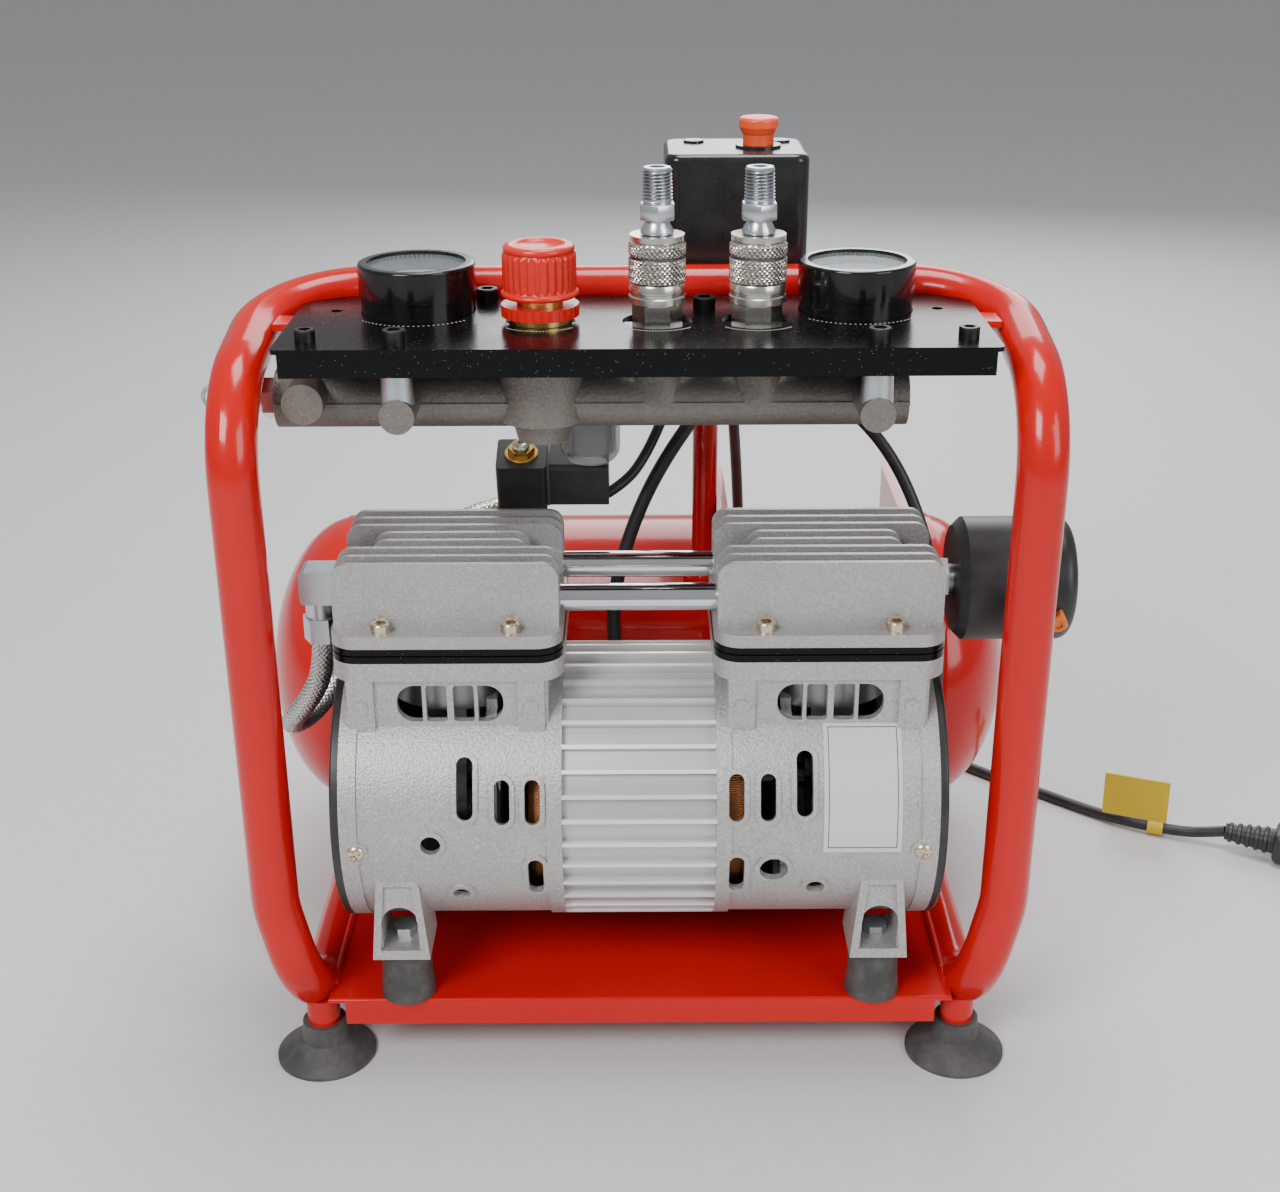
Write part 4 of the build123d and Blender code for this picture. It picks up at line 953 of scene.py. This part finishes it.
class COMPRESSOR_OT_panel_rings(PieceOperator):
    """Plain printed rings round the controls"""
    bl_idname = "compressor.panel_rings"
    bl_label = "Panel Rings"

    def execute(self, context):
        rings = []
        places = [(x, GAUGE_Y, 29.5) for x in GAUGE_XS]
        places += [(x, PIPE_Y, 18.6) for x in (REGULATOR_X, *COUPLER_XS)]
        for x, y, radius in places:
            start = boxed("ring", (radius - 0.35, -0.4, PANEL_TOP), (radius + 0.35, 0.4, PANEL_TOP + 0.06))
            for index in range(24):
                angle = -90 + (index - 11.5) * 4.2
                rings.append(copied(start, "ring", (x, y, 0), (0, 0, angle)))
            bpy.data.objects.remove(start)
        finished(joined("panel_rings", *rings), "ring_mark", "needle")
        return {"FINISHED"}


class COMPRESSOR_OT_socket_screws(PieceOperator):
    """Socket cap screws of the panel and of the cylinder heads"""
    bl_idname = "compressor.socket_screws"
    bl_label = "Socket Screws"

    def screw(self, name, head, height, shank, depth):
        profile = [(shank, -depth), (shank, 0.0), (head, 0.0), (head, height - 0.5), (head - 0.5, height)]
        piece = turned(name, profile, SCREW_SIDES)

        def knurl(angle, level):
            """Every other side of the head stands a little lower."""
            return -0.22 if round(angle * SCREW_SIDES / math.tau) % 2 else 0.0

        corrugated(piece, 0.3, height - 0.45, knurl)
        nothing_selected()
        bpy.ops.mesh.primitive_cylinder_add(vertices=6, radius=head * 0.62 / 1000, depth=height * 1.2 / 1000,
                                            location=mm(0, 0, height))
        return cut(piece, named("socket"))

    def execute(self, context):
        short = self.screw("panel_screw", 4.4, 5.0, 2.5, 8.0)
        long = self.screw("panel_screw_long", 5.0, 6.0, 3.0, 8.0)
        small = self.screw("head_screw", 4.4, 4.5, 2.5, 8.0)
        panel = [copied(short, "screw", (side * 139, FRONT + 18, PANEL_TOP), (0, 0, 10)) for side in (-1, 1)]
        for x, y in ((30, 70), (-68, 88), (-101, 13), (101, 13)):
            panel.append(copied(long, "screw", (x, FRONT + y, PANEL_TOP), (0, 0, 25)))
        heads = [copied(small, "screw", (side * HEAD_X + dx, MOTOR[0] + dy, FLANGE_TOP), (0, 0, dx))
                 for side in (-1, 1) for dx in (-29, 29) for dy in (-39, 39)]
        for spare in (short, long, small):
            bpy.data.objects.remove(spare)
        finished(joined("panel_cap_screws", *panel), "black_oxide", "zinc", "machine", "cap_screws")
        finished(joined("head_cap_screws", *heads), "champagne", "nickel")
        return {"FINISHED"}


# ---- motor ----
def cross_screw(name, head, height):
    """A domed screw with a cross recess, its seat at the origin."""
    profile = [(head * 0.5, -3.0), (head * 0.5, 0.0), (head, 0.0), (head, height * 0.35),
               (head * 0.86, height * 0.72), (head * 0.55, height * 0.93), (head * 0.2, height)]
    piece = turned(name, profile, 40)
    arm = head * 0.6
    width = head * 0.14
    return cut(piece, boxed("slot_a", (-arm, -width, height * 0.35), (arm, width, height * 2)),
               boxed("slot_b", (-width, -arm, height * 0.35), (width, arm, height * 2)))


class COMPRESSOR_OT_lug_screws(PieceOperator):
    """Cross-recess screws on the end lugs of the crankcases"""
    bl_idname = "compressor.lug_screws"
    bl_label = "Lug Screws"

    def execute(self, context):
        screw = cross_screw("lug_screw", 3.9, 2.0)
        pair = [copied(screw, "lug_screw", (side * 129, MOTOR[0] - 65.45, MOTOR[1] - 4), (90, side * 20, 0))
                for side in (-1, 1)]
        bpy.data.objects.remove(screw)
        finished(joined("lug_screw_pair", *pair), "champagne", "nickel")
        return {"FINISHED"}


class COMPRESSOR_OT_rating_plate(PieceOperator):
    """The blank rating plate, curved round the right crankcase"""
    bl_idname = "compressor.rating_plate"
    bl_label = "Rating Plate"

    def curved(self, name, x, low, high, radius, thickness, finish, slot):
        nothing_selected()
        bpy.ops.mesh.primitive_grid_add(x_subdivisions=12, y_subdivisions=28, size=1)
        plate = named(name)
        for vertex in plate.data.vertices:
            angle = math.radians(low + (vertex.co.y + 0.5) * (high - low))
            vertex.co = mm(x[0] + (vertex.co.x + 0.5) * (x[1] - x[0]), MOTOR[0] - radius * math.cos(angle),
                           MOTOR[1] + radius * math.sin(angle))
        wall = plate.modifiers.new("wall", "SOLIDIFY")
        wall.thickness = thickness / 1000
        wall.offset = 1.0
        bpy.ops.object.modifier_apply(modifier="wall")
        faced_outward()
        return finished(plate, finish, slot)

    def execute(self, context):
        self.curved("rating_plate", (83.5, 119.0), -4.0, 50.0, BARREL_R - 0.95, 0.5, "label", "dial")
        rules = (
            ("rating_rule_left", (85.5, 85.9), -2, 48), ("rating_rule_right", (116.6, 117), -2, 48),
            ("rating_rule_low", (85.5, 117), -2, -1.6), ("rating_rule_high", (85.5, 117), 47.6, 48),
        )
        for name, x, low, high in rules:
            self.curved(name, x, low, high, BARREL_R - 0.5, 0.14, "label_line", "needle")
        return {"FINISHED"}


class COMPRESSOR_OT_silencer_tab(PieceOperator):
    """The orange direction tab on the intake silencer's cap"""
    bl_idname = "compressor.silencer_tab"
    bl_label = "Silencer Tab"

    def execute(self, context):
        profile = [(4.6, 27.6), (4.6, 29.6), (4.0, 30.2), (2.2, 30.2), (2.0, 29.4), (1.0, 29.4)]
        tab = turned("silencer_tab", profile, 48)
        for vertex in tab.data.vertices:
            if vertex.co.x > 0:
                vertex.co.x *= 1.9
                vertex.co.y *= 1 - 0.55 * min(1.0, vertex.co.x / 0.0087)
        moved(tab, turn=(0, 0, 90))
        moved(tab, (189.5, FRONT + 50, 236.2), (115, 0, 0))
        finished(tab, "tab_orange", "red_plastic", "filter_cap")
        return {"FINISHED"}


class COMPRESSOR_OT_solenoid_details(PieceOperator):
    """The coil's plated nut and stub, and the connector's amber window and screw"""
    bl_idname = "compressor.solenoid_details"
    bl_label = "Solenoid Details"

    def execute(self, context):
        tilt = (18, 0, 0)
        base = (-56, FRONT + 113, 252)
        washer = turned("coil_washer", [(8.2, 29.0), (8.2, 29.6), (7.9, 30.0), (5.2, 30.0), (5.2, 29.2)], 48)
        profile = [(3.8, 30.0), (3.8, 33.4), (4.2, 33.5), (4.2, 34.4), (3.4, 35.6), (2.2, 36.0), (1.6, 36.0),
                   (1.5, 34.0)]
        stub = turned("coil_stub", profile, 40)
        finished(moved(washer, base, tilt), "brass", "brass")
        finished(moved(stub, base, tilt), "nickel", "nickel")
        window = boxed("connector_window", (24, -3.5, 29.0), (31, 3.5, 29.8), 0.35)
        finished(moved(window, base, tilt), "amber", "lens")
        screw = cross_screw("connector_screw", 2.4, 1.4)
        screw = moved(screw, (36, 0, 29.0))
        finished(moved(screw, base, tilt), "zinc", "zinc")
        seal = boxed("connector_seal", (12.2, -11.4, 6.0), (13.6, 11.4, 29.4), 0.4)
        finished(moved(seal, base, tilt), "grey_plastic", "rubber")
        return {"FINISHED"}


class COMPRESSOR_OT_braided_hose(PieceOperator):
    """The discharge hose, its wire braid raised in the mesh"""
    bl_idname = "compressor.braided_hose"
    bl_label = "Braided Hose"

    def execute(self, context):
        depth = context.scene.compressor_sizes.braid_depth
        route = [
            (-148, 50, 207), (-149, 51, 190), (-158, 56, 172), (-170, 66, 156), (-173, 82, 145),
            (-165, 97, 144), (-154, 104, 158), (-142, 109, 177), (-129, 112, 195),
            (-116, 118, 214), (-100, 130, 228), (-85, 142, 235), (-70, 150, 236),
        ]
        line = nurbs_through("hose_line", behind_front(route))
        line.data.resolution_u = 48
        mesh = bpy.data.meshes.new_from_object(line)
        points = [vertex.co.copy() for vertex in mesh.vertices]
        bpy.data.objects.remove(line)
        lengths = [0.0]
        for here, there in zip(points, points[1:]):
            lengths.append(lengths[-1] + (there - here).length)
        count = int(lengths[-1] / 0.00055)
        sides = 72
        vertices, faces, heights = [], [], []
        index, across = 0, Vector((1, 0, 0))
        for ring in range(count + 1):
            goal = lengths[-1] * ring / count
            while index < len(points) - 2 and lengths[index + 1] < goal:
                index += 1
            span = points[index + 1] - points[index]
            centre = points[index] + span * ((goal - lengths[index]) / max(span.length, 1e-9))
            ahead = span.normalized()
            across = (across - ahead * across.dot(ahead)).normalized()
            other = ahead.cross(across)
            for side in range(sides):
                angle = math.tau * side / sides
                right = angle * BRAID_STRANDS + goal * BRAID_TWIST
                left = angle * BRAID_STRANDS - goal * BRAID_TWIST
                crossing = math.floor(right / math.pi) + math.floor(left / math.pi)
                height = abs(math.sin(right if crossing % 2 else left))
                heights.append(height)
                radius = 0.0047 + depth * height
                out = across * (radius * math.cos(angle)) + other * (radius * math.sin(angle))
                vertices.append(centre + out)
        for ring in range(count):
            for side in range(sides):
                here, there = ring * sides + side, ring * sides + (side + 1) % sides
                faces.append((here, there, there + sides, here + sides))
        faces.append(tuple(reversed(range(sides))))
        faces.append(tuple(range(count * sides, (count + 1) * sides)))
        data = bpy.data.meshes.new("wire_hose")
        data.from_pydata(vertices, [], faces)
        # these heights also set the painted shade between the braid's strands
        data.attributes.new("relief", "FLOAT", "POINT").data.foreach_set("value", heights)
        hose = bpy.data.objects.new("wire_hose", data)
        context.scene.collection.objects.link(hose)
        finished(hose, "braid", "braid", "machine", "braided_hose", angle=60)
        return {"FINISHED"}


STEPS = (
    COMPRESSOR_OT_stage, COMPRESSOR_OT_finishes, COMPRESSOR_OT_power_cord, COMPRESSOR_OT_internal_leads,
    COMPRESSOR_OT_cord_relief,
    COMPRESSOR_OT_weld_beads, COMPRESSOR_OT_coupler_sleeves,
    COMPRESSOR_OT_outlet_nipples, COMPRESSOR_OT_regulator_knob, COMPRESSOR_OT_dial_marks,
    COMPRESSOR_OT_panel_rings, COMPRESSOR_OT_socket_screws, COMPRESSOR_OT_lug_screws,
    COMPRESSOR_OT_rating_plate, COMPRESSOR_OT_silencer_tab, COMPRESSOR_OT_solenoid_details,
    COMPRESSOR_OT_braided_hose,
)


class COMPRESSOR_PT_panel(bpy.types.Panel):
    """Builds the compressor's pieces one by one"""
    bl_idname = "COMPRESSOR_PT_panel"
    bl_label = "Airbrush Compressor"
    bl_space_type = "VIEW_3D"
    bl_region_type = "UI"
    bl_category = "Compressor"

    def draw(self, context):
        for group in (context.scene.compressor_sizes, context.scene.compressor_colours):
            for name in group.bl_rna.properties.keys():
                if name not in ("rna_type", "name"):
                    self.layout.prop(group, name)
        for step in STEPS:
            self.layout.operator(step.bl_idname)


CLASSES = (CompressorSizes, CompressorColours, *STEPS, COMPRESSOR_PT_panel)


def register():
    for each in CLASSES:
        bpy.utils.register_class(each)
    bpy.types.Scene.compressor_sizes = bpy.props.PointerProperty(type=CompressorSizes)
    bpy.types.Scene.compressor_colours = bpy.props.PointerProperty(type=CompressorColours)


def unregister():
    del bpy.types.Scene.compressor_sizes
    del bpy.types.Scene.compressor_colours
    for each in reversed(CLASSES):
        bpy.utils.unregister_class(each)


def main():
    register()
    for step in STEPS:
        group, name = step.bl_idname.split(".")
        getattr(getattr(bpy.ops, group), name)()
    nothing_selected()


if __name__ == "__main__":
    main()
